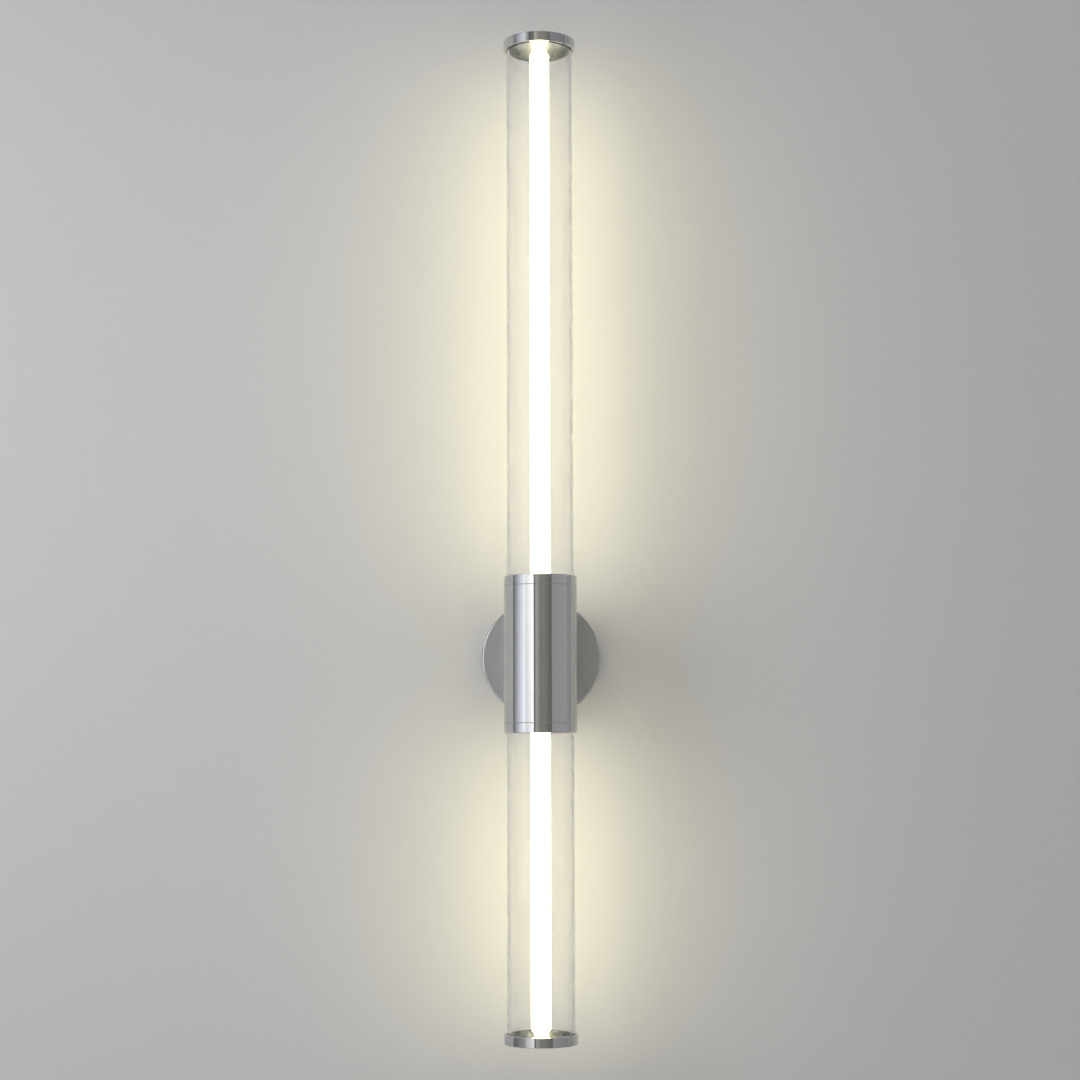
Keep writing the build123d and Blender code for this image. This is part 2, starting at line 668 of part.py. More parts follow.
def make_arm(name, direction, exposed_length):
    """Make one arm's collar, socket, seals, clear tube, lit core and end cap."""

    def at(level):
        return arm_level(direction, level)

    cap_edge = collar_end + exposed_length
    cap_recess = cap_height - cap_disc_thickness
    disc_face = cap_edge + cap_recess
    tube_end = disc_face - cap_seal_thickness
    neck_start = disc_face - neck_length
    diffuser_end = neck_start - shoulder_length
    bar_end = diffuser_end - plug_spigot_length

    # The visible ring, a spigot that goes into the sleeve and a lip that the socket pulls on.
    with BuildPart() as collar:
        add_ring(at(sleeve_half), sleeve_r, collar_bore_r, collar_height)
        chamfer(outer_rims(collar), seam_chamfer)
        add_ring(at(spigot_end), spigot_r, collar_bore_r, collar_spigot_length)
        add_ring(at(spigot_end), spigot_r, lip_bore_r, collar_lip_thickness)
    write_piece(collar, f"{name}_collar")

    # A turned socket: flange on the collar's lip, boss in the clear tube, hub for the core.
    with BuildPart() as socket:
        add_rod(at(lip_top), collar_bore_r - socket_clearance, socket_flange_thickness)
        add_rod(at(flange_top), boss_r, socket_boss_height)
        chamfer(socket.edges().filter_by(GeomType.CIRCLE).sort_by(Axis.Z)[-1 if direction > 0 else 0],
                seam_chamfer)
        add_rod(at(hub_end), socket_hub_d / 2, socket_hub_drop)
        add_rod(at(floor_top), diffuser_d / 2 + diffuser_clearance, boss_top, mode=Mode.SUBTRACT)
        add_rod(at(hub_end), core_screw_d / 2 + passing_clearance, boss_top, mode=Mode.SUBTRACT)
        with BuildSketch(at(hub_end)):
            with Locations((0, -lead_offset), (0, lead_offset)):
                SlotOverall(lead_spacing + lead_hole_d, lead_hole_d)
        extrude(amount=socket_floor_thickness, mode=Mode.SUBTRACT)
        hole_clearance = passing_clearance if direction > 0 else thread_clearance
        with BuildSketch(at(lip_top)):
            with Locations((-tie_offset, 0), (tie_offset, 0)):
                Circle(tie_screw_d / 2 + hole_clearance)
        extrude(amount=boss_top, mode=Mode.SUBTRACT)
        if direction > 0:
            with BuildSketch(at(tie_seat)):
                with Locations((-tie_offset, 0), (tie_offset, 0)):
                    Circle(tie_screw_head_d / 2 + passing_clearance)
            extrude(amount=tie_counterbore_depth, mode=Mode.SUBTRACT)
    write_piece(socket, f"{name}_tube_socket")

    with BuildPart() as tube_seal:
        add_ring(at(flange_top), tube_r, tube_bore_r, tube_seal_thickness)
    write_piece(tube_seal, f"{name}_tube_seal")

    with BuildPart() as clear_tube:
        add_ring(at(seal_top), tube_r, tube_bore_r, tube_end - seal_top)
    write_piece(clear_tube, f"{name}_clear_tube")

    with BuildPart() as cap_seal:
        add_ring(at(tube_end), tube_r, tube_bore_r, cap_seal_thickness)
    write_piece(cap_seal, f"{name}_cap_seal")

    with BuildPart() as diffuser:
        add_ring(at(floor_top), diffuser_d / 2, diffuser_d / 2 - diffuser_wall, diffuser_end - floor_top)
    write_piece(diffuser, f"{name}_diffuser")

    # The bar has a tapped hole in each end: for the socket's screw and for the cap's screw.
    core_screw_reach = core_screw_length - socket_floor_thickness + passing_clearance
    cap_screw_reach = cap_screw_length - (cap_edge + cap_height - bar_end) + passing_clearance
    with BuildPart() as led_bar:
        add_block(at(floor_top), bar_width, bar_thickness, bar_end - floor_top)
        add_rod(at(floor_top), core_screw_d / 2 + thread_clearance, core_screw_reach, mode=Mode.SUBTRACT)
        add_rod(at(bar_end), cap_screw_d / 2 + thread_clearance, -cap_screw_reach, mode=Mode.SUBTRACT)
    write_piece(led_bar, f"{name}_led_bar")

    strip_start = floor_top + strip_end_gap
    strip_length = bar_end - strip_end_gap - strip_start
    strip_middle = bar_half + strip_thickness / 2
    with BuildPart() as led_strips:
        for side in (-1, 1):
            strip_foot = at(strip_start) * Pos(0, side * strip_middle, 0)
            add_block(strip_foot, strip_width, strip_thickness, strip_length)
    write_piece(led_strips, f"{name}_led_strips")

    chip_count = int((strip_length - 2 * chip_end_gap - lead_overlap) / chip_pitch) + 1
    chip_start = strip_start + lead_overlap + chip_end_gap
    with BuildPart() as led_chips:
        for side in (-1, 1):
            face = Plane(origin=(0, axis_y + side * strip_face, 0), x_dir=(1, 0, 0), z_dir=(0, side, 0))
            with BuildSketch(face):
                for index in range(chip_count):
                    height = direction * (chip_start + index * chip_pitch)
                    with Locations((0, -side * height)):
                        Rectangle(chip_width, chip_length)
            extrude(amount=chip_height)
    write_piece(led_chips, f"{name}_led_chips")

    # Four short wires from the driver's end wall, soldered along the foot of each strip.
    with BuildPart() as led_leads:
        with BuildSketch(at(case_half_height)):
            with GridLocations(lead_spacing, 2 * lead_offset, 2, 2):
                Circle(lead_d / 2)
        extrude(amount=strip_start + lead_overlap - case_half_height)
    write_piece(led_leads, f"{name}_led_leads")

    # An opal plug: its spigot closes the diffuser, and its shoulder narrows to a neck on the cap's disc.
    half_section = Plane(origin=(0, axis_y, 0), x_dir=(1, 0, 0), z_dir=(0, -direction, 0))
    shoulder_middle = (diffuser_end + neck_start) / 2
    with BuildPart() as core_plug:
        with BuildSketch(half_section):
            with BuildLine():
                Polyline(
                    (neck_d / 2, neck_start), (neck_d / 2, disc_face), (0, disc_face),
                    (0, diffuser_end), (diffuser_d / 2, diffuser_end),
                )
                Bezier(
                    (diffuser_d / 2, diffuser_end), (diffuser_d / 2, shoulder_middle),
                    (neck_d / 2, shoulder_middle), (neck_d / 2, neck_start),
                )
            make_face()
        revolve(axis=Axis((0, axis_y, 0), (0, 0, 1)))
        add_rod(at(bar_end), diffuser_d / 2 - diffuser_wall - diffuser_clearance, plug_spigot_length)
        add_rod(at(bar_end), cap_screw_d / 2 + passing_clearance, disc_face, mode=Mode.SUBTRACT)
    write_piece(core_plug, f"{name}_core_plug")

    # A shallow cap: a disc with an outer rim round the tube and an inner ring in its bore.
    with BuildPart() as end_cap:
        add_rod(at(disc_face), cap_r, cap_disc_thickness)
        add_ring(at(cap_edge), cap_r, cap_r - cap_rim_wall, cap_recess)
        chamfer(outer_rims(end_cap), cap_edge_chamfer)
        cap_spigot_r = tube_bore_r - cap_spigot_clearance
        add_ring(at(cap_edge), cap_spigot_r, cap_spigot_r - cap_spigot_wall, cap_recess)
        with Locations(at(cap_edge + cap_height)):
            CounterSinkHole(
                radius=cap_screw_d / 2 + passing_clearance,
                counter_sink_radius=cap_screw_head_d / 2 + passing_clearance,
                counter_sink_angle=countersink_angle,
            )
    write_piece(end_cap, f"{name}_end_cap")


make_arm("upper", 1, upper_exposed_length)
make_arm("lower", -1, lower_exposed_length)

# ---------------------------------------------------------------- screws of both arms

with BuildPart() as core_screws:
    for direction in (-1, 1):
        head_seat = Plane(origin=(0, axis_y, direction * hub_end), z_dir=(0, 0, -direction))
        add_pan_screw(head_seat, core_screw_d, core_screw_head_d, core_screw_head_h, core_screw_length)
write_piece(core_screws, "core_screws")

with BuildPart() as end_cap_screws:
    for direction, exposed_length in ((1, upper_exposed_length), (-1, lower_exposed_length)):
        outer_face = arm_level(direction, collar_end + exposed_length + cap_height)
        cone_height = (cap_screw_head_d - cap_screw_d) / 2 / tan(radians(countersink_angle / 2))
        with BuildSketch(outer_face):
            Circle(cap_screw_head_d / 2)
        extrude(amount=-cone_height, taper=countersink_angle / 2)
        add_rod(outer_face.offset(-cone_height / 2), cap_screw_d / 2, -(cap_screw_length - cone_height / 2))
        cut_cross_recess(outer_face, cap_screw_head_d)
write_piece(end_cap_screws, "end_cap_screws")

total_height = 2 * collar_end + upper_exposed_length + lower_exposed_length + 2 * cap_height
print(f"overall height {total_height:.1f}, projection {axis_level + sleeve_r:.1f}, sleeve {2 * sleeve_r:.1f}")
print(f"nipple length {nipple_front_level - nipple_back_level:.1f}")
print(f"tie screw length {tie_seat + boss_top - tie_end_gap:.1f}")
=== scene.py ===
"""Looks of the tube wall light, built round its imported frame.

Objects are in metres in the frame's axes: the wall is the plane y = 0, the light stands out from it
towards -y, and +z is up. The sizes of the light's classes are millimetres, and the studio's are metres.
A "level" is a distance along the line that a piece is turned about, from that line's foot.
"""

import logging
import math
from abc import ABC, abstractmethod
from collections.abc import Callable, Sequence
from dataclasses import dataclass
from enum import Enum

import bmesh
import bpy
from mathutils import Matrix, Vector


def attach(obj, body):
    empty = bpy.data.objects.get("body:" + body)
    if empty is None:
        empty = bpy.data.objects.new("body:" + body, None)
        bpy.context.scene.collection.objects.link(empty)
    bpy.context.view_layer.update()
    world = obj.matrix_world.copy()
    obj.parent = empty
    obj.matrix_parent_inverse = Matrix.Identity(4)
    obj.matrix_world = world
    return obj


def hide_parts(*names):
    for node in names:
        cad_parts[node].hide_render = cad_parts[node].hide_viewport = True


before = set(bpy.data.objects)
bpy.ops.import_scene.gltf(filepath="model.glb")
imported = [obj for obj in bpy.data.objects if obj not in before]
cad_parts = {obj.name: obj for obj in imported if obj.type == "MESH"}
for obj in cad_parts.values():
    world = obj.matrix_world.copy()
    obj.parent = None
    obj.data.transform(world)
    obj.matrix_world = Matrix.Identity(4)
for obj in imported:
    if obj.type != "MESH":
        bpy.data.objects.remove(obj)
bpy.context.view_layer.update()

LOG = logging.getLogger("tube_wall_light")
BODY = "root"
MM = 0.001
TURN_STEPS = 192
NECK_STEPS = 96
SCREW_STEPS = 48
DRILL_STEPS = 32
ROUND_STEPS = 4
SHARP_ANGLE = math.radians(28)
SAME_POINT = 1e-6
AXIS_LEVEL = 92.0  # the tubes' axis, out from the wall
NIPPLE_HOLE_R = 5.2
PIN_HOLE_R = 1.55
PIN_OFFSET = 11.0
CLOUD_LOW, CLOUD_HIGH = 0.3, 0.7  # the noise's values where a cloud starts and where it is full
GRAIN_STRENGTH = 0.5

Piece = bpy.types.Object
Mesh = bpy.types.Mesh
Tree = bpy.types.NodeTree
Socket = bpy.types.NodeSocket
Outputs = bpy.types.bpy_prop_collection
Place = tuple[float, float, float]
Corner = tuple[float, float, float]
Outline = list[tuple[float, float]]
Colour = tuple[float, float, float, float]


# ---- node helpers


def linear(code: str) -> Colour:
    """Turn an sRGB hex colour into linear values.

    Args:
        code: Six hex digits, with or without a hash sign.

    Returns:
        Red, green, blue and an alpha of 1.
    """
    digits = code.lstrip("#")
    parts = [int(digits[i : i + 2], 16) / 255 for i in (0, 2, 4)]
    red, green, blue = (p / 12.92 if p <= 0.04045 else ((p + 0.055) / 1.055) ** 2.4 for p in parts)
    return red, green, blue, 1.0


def add_node(tree: Tree, kind: str, inputs: dict | None = None, **settings: object) -> Outputs:
    """Add a node with its settings and links.

    Args:
        tree: The tree that gets the node.
        kind: The node's type name.
        inputs: Input name or index to a value, or to the output socket that it is linked from.
        **settings: Properties of the node.

    Returns:
        The node's outputs.
    """
    made = tree.nodes.new(kind)
    for name, value in settings.items():
        setattr(made, name, value)
    for key, value in (inputs or {}).items():
        if isinstance(value, Socket):
            tree.links.new(value, made.inputs[key])
        else:
            made.inputs[key].default_value = value
    return made.outputs


# ---- finishes


class Grain(Enum):
    """How a metal's surface was worked, which says where its fine lines run."""

    TURNED = "turned"
    ROLLED = "rolled"
    BLASTED = "blasted"


@dataclass(frozen=True)
class Finish(ABC):
    """A material that is made once, under its own name."""

    name: str
    colour: str

    def material(self) -> bpy.types.Material:
        """Make the finish's material on its first use.

        Returns:
            The material.
        """
        found = bpy.data.materials.get(self.name)
        if found is None:
            found = bpy.data.materials.new(self.name)
            found.use_nodes = True
            found.node_tree.nodes.clear()
            shader = self.build()
            self.add("ShaderNodeOutputMaterial", {"Surface": shader})
            found.diffuse_color = linear(self.colour)
        return found

    @abstractmethod
    def build(self) -> Socket:
        """Add the finish's nodes and return the socket of the finished shader."""

    def add(self, kind: str, inputs: dict | None = None, **settings: object) -> Outputs:
        """Add a node to the finish's material, as add_node does, and return its outputs."""
        return add_node(bpy.data.materials[self.name].node_tree, kind, inputs, **settings)

    def clouded(self, cloud_mm: float, low: float, high: float) -> Socket:
        """Add a soft cloudy variation between two values.

        Args:
            cloud_mm: Width of a cloud.
            low: The lowest value.
            high: The highest value.

        Returns:
            The socket of the value.
        """
        place = self.add("ShaderNodeTexCoord")["Object"]
        noise = {"Vector": place, "Scale": 1 / (cloud_mm * MM), "Detail": 3.0}
        cloud = self.add("ShaderNodeTexNoise", noise)["Fac"]
        span = {0: cloud, 1: CLOUD_LOW, 2: CLOUD_HIGH, 3: low, 4: high}
        return self.add("ShaderNodeMapRange", span)[0]

    def grained(self, grain_mm: float, detail: float, relief_mm: float) -> Socket:
        """Add an even grain that catches the light.

        Args:
            grain_mm: Width of a grain.
            detail: How many finer grains lie over it.
            relief_mm: Height of the grain.

        Returns:
            The socket of the surface's direction.
        """
        place = self.add("ShaderNodeTexCoord")["Object"]
        noise = {"Vector": place, "Scale": 1 / (grain_mm * MM), "Detail": detail}
        grain = self.add("ShaderNodeTexNoise", noise)["Fac"]
        relief = {"Height": grain, "Strength": GRAIN_STRENGTH, "Distance": relief_mm * MM}
        return self.add("ShaderNodeBump", relief)[0]

    def tinted(self, other: str, share: Socket) -> Socket:
        """Mix the finish's colour with another one.

        Args:
            other: The other colour, as sRGB hex.
            share: How much of the other colour shows.

        Returns:
            The socket of the mixed colour.
        """
        colours = {0: share, 6: linear(self.colour), 7: linear(other)}
        return self.add("ShaderNodeMix", colours, data_type="RGBA")[2]


@dataclass(frozen=True)
class MetalFinish(Finish):
    """Bare or plated metal with the fine lines of how it was worked."""

    roughness: float
    shade: str
    grain: Grain
    line_mm: float
    relief_mm: float
    anisotropy: float = 0.0
    turned_about: str = "Z"
    cloud_mm: float = 9.0
    haze_mm: float = 14.0
    haze_share: float = 0.03
    line_strength: float = 0.6
    turned_stretch: float = 60.0
    rolled_stretch: float = 0.03

    def lines(self) -> Socket:
        """Add the pattern of the metal's fine lines.

        Returns:
            The socket of the pattern's height.
        """
        place = self.add("ShaderNodeTexCoord")["Object"]
        per_line = 1 / (self.line_mm * MM)
        if self.grain is Grain.TURNED:
            # Rings that follow the lathe: fine along the outline, long round the piece.
            along = self.add("ShaderNodeAttribute", attribute_name="turned")["Fac"]
            spread = self.add("ShaderNodeMath", {0: along, 1: per_line}, operation="MULTIPLY")
            round_it = {0: place, "Scale": per_line / self.turned_stretch}
            wide = self.add("ShaderNodeVectorMath", round_it, operation="SCALE")
            noise = {"Vector": wide[0], "W": spread[0], "Scale": 1.0, "Detail": 2.0}
            return self.add("ShaderNodeTexNoise", noise, noise_dimensions="4D")["Fac"]
        stretch = (1.0, 1.0, self.rolled_stretch if self.grain is Grain.ROLLED else 1.0)
        drawn = self.add("ShaderNodeMapping", {"Vector": place, "Scale": stretch})
        noise = {"Vector": drawn[0], "Scale": per_line, "Detail": 4.0}
        return self.add("ShaderNodeTexNoise", noise)["Fac"]

    def build(self) -> Socket:
        """Add the metal's nodes.

        Returns:
            The socket of the metal.
        """
        low, high = self.roughness * (1 - self.haze_share), self.roughness * (1 + self.haze_share)
        depth = self.relief_mm * MM
        relief = {"Height": self.lines(), "Strength": self.line_strength, "Distance": depth}
        inputs = {
            "Base Color": self.tinted(self.shade, self.clouded(self.cloud_mm, 0.0, 1.0)),
            "Metallic": 1.0,
            "Roughness": self.clouded(self.haze_mm, low, high),
            "Normal": self.add("ShaderNodeBump", relief)[0],
        }
        if self.anisotropy:
            tangent = self.add("ShaderNodeTangent", direction_type="RADIAL", axis=self.turned_about)[0]
            inputs |= {"Anisotropic": self.anisotropy, "Anisotropic Rotation": 0.25, "Tangent": tangent}
        return self.add("ShaderNodeBsdfPrincipled", inputs)[0]


@dataclass(frozen=True)
class MouldedFinish(Finish):
    """Plastic, rubber or enamel from a mould, with a faint grain."""

    roughness: float
    shade: str
    grain_mm: float
    relief_mm: float
    glow: str | None = None
    glow_strength: float = 0.0
    cloud_mm: float = 12.0
    haze_mm: float = 6.0
    haze_share: float = 0.1

    def face_colour(self) -> Socket:
        """Add the moulding's slightly uneven colour and return its socket."""
        return self.tinted(self.shade, self.clouded(self.cloud_mm, 0.0, 1.0))

    def build(self) -> Socket:
        """Add the moulding's nodes.

        Returns:
            The socket of the moulding.
        """
        low, high = self.roughness * (1 - self.haze_share), self.roughness * (1 + self.haze_share)
        inputs = {
            "Base Color": self.face_colour(),
            "Roughness": self.clouded(self.haze_mm, low, high),
            "Normal": self.grained(self.grain_mm, 3.0, self.relief_mm),
        }
        if self.glow:
            inputs |= {"Emission Color": linear(self.glow), "Emission Strength": self.glow_strength}
        return self.add("ShaderNodeBsdfPrincipled", inputs)[0]


@dataclass(frozen=True)
class ClearFinish(Finish):
    """Clear acrylic: it bends what is seen through it, and lets the lamp's light out."""

    roughness: float
    ior: float = 1.49

    def build(self) -> Socket:
        """Add the acrylic's nodes.

        Returns:
            The socket of the acrylic.
        """
        clear = linear(self.colour)
        solid = {"Base Color": clear, "Roughness": self.roughness, "Transmission Weight": 1.0}
        bent = self.add("ShaderNodeBsdfPrincipled", solid | {"IOR": self.ior})
        through = self.add("ShaderNodeBsdfTransparent", {"Color": clear})
        # The lamp's light goes straight through the thin wall, and only what the eye sees is bent.
        ray = self.add("ShaderNodeLightPath")
        either = {0: ray["Is Shadow Ray"], 1: ray["Is Diffuse Ray"]}
        lit = self.add("ShaderNodeMath", either, operation="MAXIMUM")
        mixed = {0: lit[0], 1: bent[0], 2: through[0]}
        return self.add("ShaderNodeMixShader", mixed)[0]


@dataclass(frozen=True)
class StripedFinish(MouldedFinish):
    """Two-coloured wire insulation, with the stripe along the wire."""

    stripe: str = "E3C62B"
    stripe_mm: float = 1.1
    stripe_spacing: float = 6.0
    stripe_edge: float = 0.6
    stripe_tilt: float = math.radians(15)

    def face_colour(self) -> Socket:
        """Add the insulation's colour with its stripe.

        Returns:
            The socket of the colour.
        """
        place = self.add("ShaderNodeTexCoord")["Object"]
        tilt = {"Vector": place, "Rotation": (0.0, self.stripe_tilt, 0.0)}
        turned = self.add("ShaderNodeMapping", tilt)[0]
        bands = {"Vector": turned, "Scale": 1 / (self.stripe_mm * MM * self.stripe_spacing)}
        wave = self.add("ShaderNodeTexWave", bands)["Fac"]
        edge = self.add("ShaderNodeMath", {0: wave, 1: self.stripe_edge}, operation="GREATER_THAN")[0]
        return self.tinted(self.stripe, edge)


@dataclass(frozen=True)
class PaintFinish(Finish):
    """Matt wall paint, rolled on, for the floor and the wall behind the light."""

    roughness: float
    roller_mm: float = 2.5
    relief_mm: float = 0.05
    one_sided: bool = False

    def build(self) -> Socket:
        """Add the paint's nodes.

        Returns:
            The socket of the paint, which is clear from behind if it is one-sided.
        """
        inputs = {
            "Base Color": linear(self.colour),
            "Roughness": self.roughness,
            "Normal": self.grained(self.roller_mm, 4.0, self.relief_mm),
        }
        paint = self.add("ShaderNodeBsdfPrincipled", inputs)[0]
        if not self.one_sided:
            return paint
        behind = self.add("ShaderNodeNewGeometry")["Backfacing"]
        open_air = self.add("ShaderNodeBsdfTransparent")[0]
        return self.add("ShaderNodeMixShader", {0: behind, 1: paint, 2: open_air})[0]


@dataclass(frozen=True)
class PanelFinish(Finish):
    """A light panel whose brightness runs from one side to the other and from its foot to its top."""

    left: float
    right: float
    top: float = 1.0
    bend: float = 1.0
    bottom: float = 1.0

    def build(self) -> Socket:
        """Add the panel's nodes.

        Returns:
            The socket of the panel's light.
        """
        sheet = self.add("ShaderNodeTexCoord")["UV"]
        across, up, _ = self.add("ShaderNodeSeparateXYZ", {0: sheet})
        eased = self.add("ShaderNodeMath", {0: across, 1: self.bend}, operation="POWER")[0]
        side = self.add("ShaderNodeMapRange", {0: eased, 3: self.left, 4: self.right})[0]
        rise = self.add("ShaderNodeMapRange", {0: up, 3: self.bottom, 4: self.top})[0]
        level = self.add("ShaderNodeMath", {0: side, 1: rise}, operation="MULTIPLY")[0]
        light = {"Color": linear(self.colour), "Strength": level}
        return self.add("ShaderNodeEmission", light)[0]


# Nickel plate over turned steel: neutral, a little warm, crisp round the tube and soft along it.
# The real lines are under 0.1 mm, and are drawn 0.7 mm apart so that they show.
SATIN_NICKEL_UPRIGHT = MetalFinish(
    "satin_nickel_turned_upright", "D4D4D3", 0.13, "D0D0CF", Grain.TURNED, 0.7, 0.002, 0.8, "Z"
)
SATIN_NICKEL_FACING = MetalFinish(
    "satin_nickel_turned_facing", "CDCFD2", 0.3, "C9CBCE", Grain.TURNED, 0.7, 0.003, 0.3, "Y"
)
# The cap's inside is buffed, so it mirrors the lit core as a soft glow. The ring in the tube's bore is
# left as it was cut, and shows dark with small glints.
MIRROR_NICKEL = MetalFinish("mirror_nickel_polished", "DADADB", 0.28, "D4D4D5", Grain.TURNED, 1.2, 0.001)
ROUGH_CUT_RING = MetalFinish(
    "rough_cut_aluminium_ring", "8D9298", 0.42, "2C3034", Grain.BLASTED, 1.0, 0.3, cloud_mm=1.8
)
# The plate's rounded edge is polished, so it draws a thin bright line on the side of the window.
POLISHED_EDGE = MetalFinish(
    "nickel_edge_polished", "D6D6D5", 0.09, "C8C8C7", Grain.TURNED, 0.7, 0.002, 0.3, "Y"
)
# Tumbled and plated screw heads: bright, without lines.
NICKEL_SCREW = MetalFinish("polished_nickel_screw", "CFCFCC", 0.16, "C2C2C0", Grain.BLASTED, 0.8, 0.003)
# Cast acrylic tube, flame-polished: quite clear, so it shows by its edges and what they bend.
CLEAR_ACRYLIC = ClearFinish("clear_acrylic_tube", "FEFEFE", 0.0)
# Opal acrylic lit from inside: it clips to white at its face and colours what is round it.
LIT_OPAL = MouldedFinish("opal_acrylic_lit", "F4F2EC", 0.4, "F0EDE4", 0.8, 0.004, "FFF4BE", 10.5)
# Printed strip of glass epoxy under white solder mask: pale and half matt.
LED_BOARD = MouldedFinish("led_strip_board_white", "E8E8E2", 0.45, "DEDED6", 1.5, 0.006)
# Rolled paint: quite matt, with the roller's low stipple.
WALL_PAINT = PaintFinish("matt_wall_paint", "D6D6D7", 0.9, one_sided=True)
FLOOR_PAINT = PaintFinish("matt_floor_paint", "DEDDDA", 0.85)

FINISH_BY_SLOT: dict[str, Finish] = {
    "nickel_plate": SATIN_NICKEL_UPRIGHT,
    "nickel_screw": NICKEL_SCREW,
    "clear_acrylic": CLEAR_ACRYLIC,
    "opal_acrylic": LIT_OPAL,
    # Zinc plate on cold-rolled steel: cool grey with a blotchy bloom.
    "zinc_steel": MetalFinish("zinc_plated_steel", "B8BDC3", 0.36, "9EA6B2", Grain.ROLLED, 0.5, 0.01),
    # Machined and extruded aluminium without a coat: pale, with drawn lines.
    "bare_aluminium": MetalFinish(
        "machined_aluminium", "CDCECF", 0.34, "BABCBE", Grain.ROLLED, 0.4, 0.008
    ),
    # Machined brass: warm yellow, darker where it was handled.
    "brass": MetalFinish("machined_brass", "C9A55B", 0.28, "B48D45", Grain.BLASTED, 0.5, 0.004),
    # Moulded silicone and polyamide: pale and soft in the light.
    "silicone": MouldedFinish("moulded_silicone_seal", "D9DAD4", 0.55, "C9CAC4", 0.5, 0.01),
    "white_moulding": MouldedFinish("moulded_white_polyamide", "E6E4DC", 0.5, "DCD9CF", 0.4, 0.015),
    # Pressed glass epoxy: green, with the weave as a broad grain. Its parts are moulded black epoxy.
    "circuit_board": MouldedFinish("glass_epoxy_board_green", "2E6B45", 0.45, "255A3A", 1.5, 0.01),
    "component_black": MouldedFinish("moulded_black_epoxy", "26272A", 0.42, "303236", 0.6, 0.01),
    # Phosphor cast over the chip: yellow, and lit.
    "led_phosphor": MouldedFinish(
        "led_phosphor_lit", "F0D36A", 0.4, "E8C85A", 0.4, 0.004, "FFE9A8", 4.0
    ),
    # Extruded insulation: smooth, with a soft shine.
    "brown_pvc": MouldedFinish("pvc_insulation_brown", "6A4128", 0.42, "5F3A24", 0.5, 0.006),
    "blue_pvc": MouldedFinish("pvc_insulation_blue", "2F64A8", 0.42, "2A5A98", 0.5, 0.006),
    "green_yellow_pvc": StripedFinish(
        "pvc_insulation_green_yellow", "2F8A3E", 0.42, "2A7D38", 0.5, 0.006
    ),
    "white_silicone_wire": MouldedFinish(
        "silicone_insulation_white", "ECEBE6", 0.45, "E2E1DB", 0.5, 0.006
    ),
}
FINISH_BY_NODE: dict[str, Finish] = {"upper_led_strips": LED_BOARD, "lower_led_strips": LED_BOARD}


# ---- mesh helpers


@dataclass(frozen=True)
class Spindle:
    """The line that a piece is turned about, in millimetres."""

    foot: Place
    heading: Place
    across: Place

    def point(self, radius: float, level: float, angle: float) -> Vector:
        """Place a point of a turned piece.

        Args:
            radius: Distance from the line.
            level: Distance along the line.
            angle: Angle about the line.

        Returns:
            The point in metres.
        """
        along, side = Vector(self.heading), Vector(self.across)
        other = along.cross(side)
        spoke = side * math.cos(angle) + other * math.sin(angle)
        return (Vector(self.foot) + along * level + spoke * radius) * MM


UPWARD = Spindle((0.0, -AXIS_LEVEL, 0.0), (0.0, 0.0, 1.0), (1.0, 0.0, 0.0))
DOWNWARD = Spindle((0.0, -AXIS_LEVEL, 0.0), (0.0, 0.0, -1.0), (1.0, 0.0, 0.0))
OUT_OF_WALL = Spindle((0.0, 0.0, 0.0), (0.0, -1.0, 0.0), (1.0, 0.0, 0.0))
SCREW_LINE = Spindle((0.0, 0.0, 0.0), (0.0, 0.0, 1.0), (1.0, 0.0, 0.0))


def rounded(corners: Sequence[Corner]) -> Outline:
    """Round the corners of a closed outline.

    Args:
        corners: Radius, level and rounding of each corner in order; a rounding of 0 keeps it sharp.

    Returns:
        The outline's points.
    """
    points: Outline = []
    for index, (radius, level, round_r) in enumerate(corners):
        here = Vector((radius, level))
        if not round_r:
            points.append((radius, level))
            continue
        before = Vector(corners[index - 1][:2])
        after = Vector(corners[(index + 1) % len(corners)][:2])
        back, on = (before - here).normalized(), (after - here).normalized()
        half = back.angle(on) / 2
        reach = round_r / math.tan(half)
        centre = here + (back + on).normalized() * (round_r / math.sin(half))
        start, end = here + back * reach - centre, here + on * reach - centre
        turn_angle = start.angle(end)
        for step in range(ROUND_STEPS + 1):
            share = step / ROUND_STEPS
            spoke = (
                start * math.sin((1 - share) * turn_angle) + end * math.sin(share * turn_angle)
            ) / math.sin(turn_angle)
            points.append(tuple(centre + spoke))
    return points


def evaluated_mesh(piece: Piece) -> Mesh:
    """Make a plain mesh of a piece as its modifiers shape it.

    Args:
        piece: The piece.

    Returns:
        The mesh.
    """
    graph = bpy.context.evaluated_depsgraph_get()
    shape = piece.evaluated_get(graph)
    return bpy.data.meshes.new_from_object(shape, preserve_all_data_layers=True, depsgraph=graph)


def link(name: str, data: bpy.types.ID) -> Piece:
    """Add an object to the scene.

    Args:
        name: The object's name.
        data: Its mesh, lamp or camera.

    Returns:
        The object, at the origin.
    """
    made = bpy.data.objects.new(name, data)
    bpy.context.scene.collection.objects.link(made)
    return made


def settle(piece: Piece) -> None:
    """Apply a piece's modifiers and shade it: crisp corners, and soft roundings beside flat faces.

    Args:
        piece: The piece, whose mesh is replaced.
    """
    old, new = piece.data, evaluated_mesh(piece)
    piece.modifiers.clear()
    new.shade_smooth()
    new.set_sharp_from_angle(angle=SHARP_ANGLE)
    piece.data = new
    weighting = piece.modifiers.new("weighting", "WEIGHTED_NORMAL")
    weighting.keep_sharp = True
    piece.data = evaluated_mesh(piece)
    piece.modifiers.clear()
    bpy.data.meshes.remove(old)
    bpy.data.meshes.remove(new)
    piece.data.name = piece.name


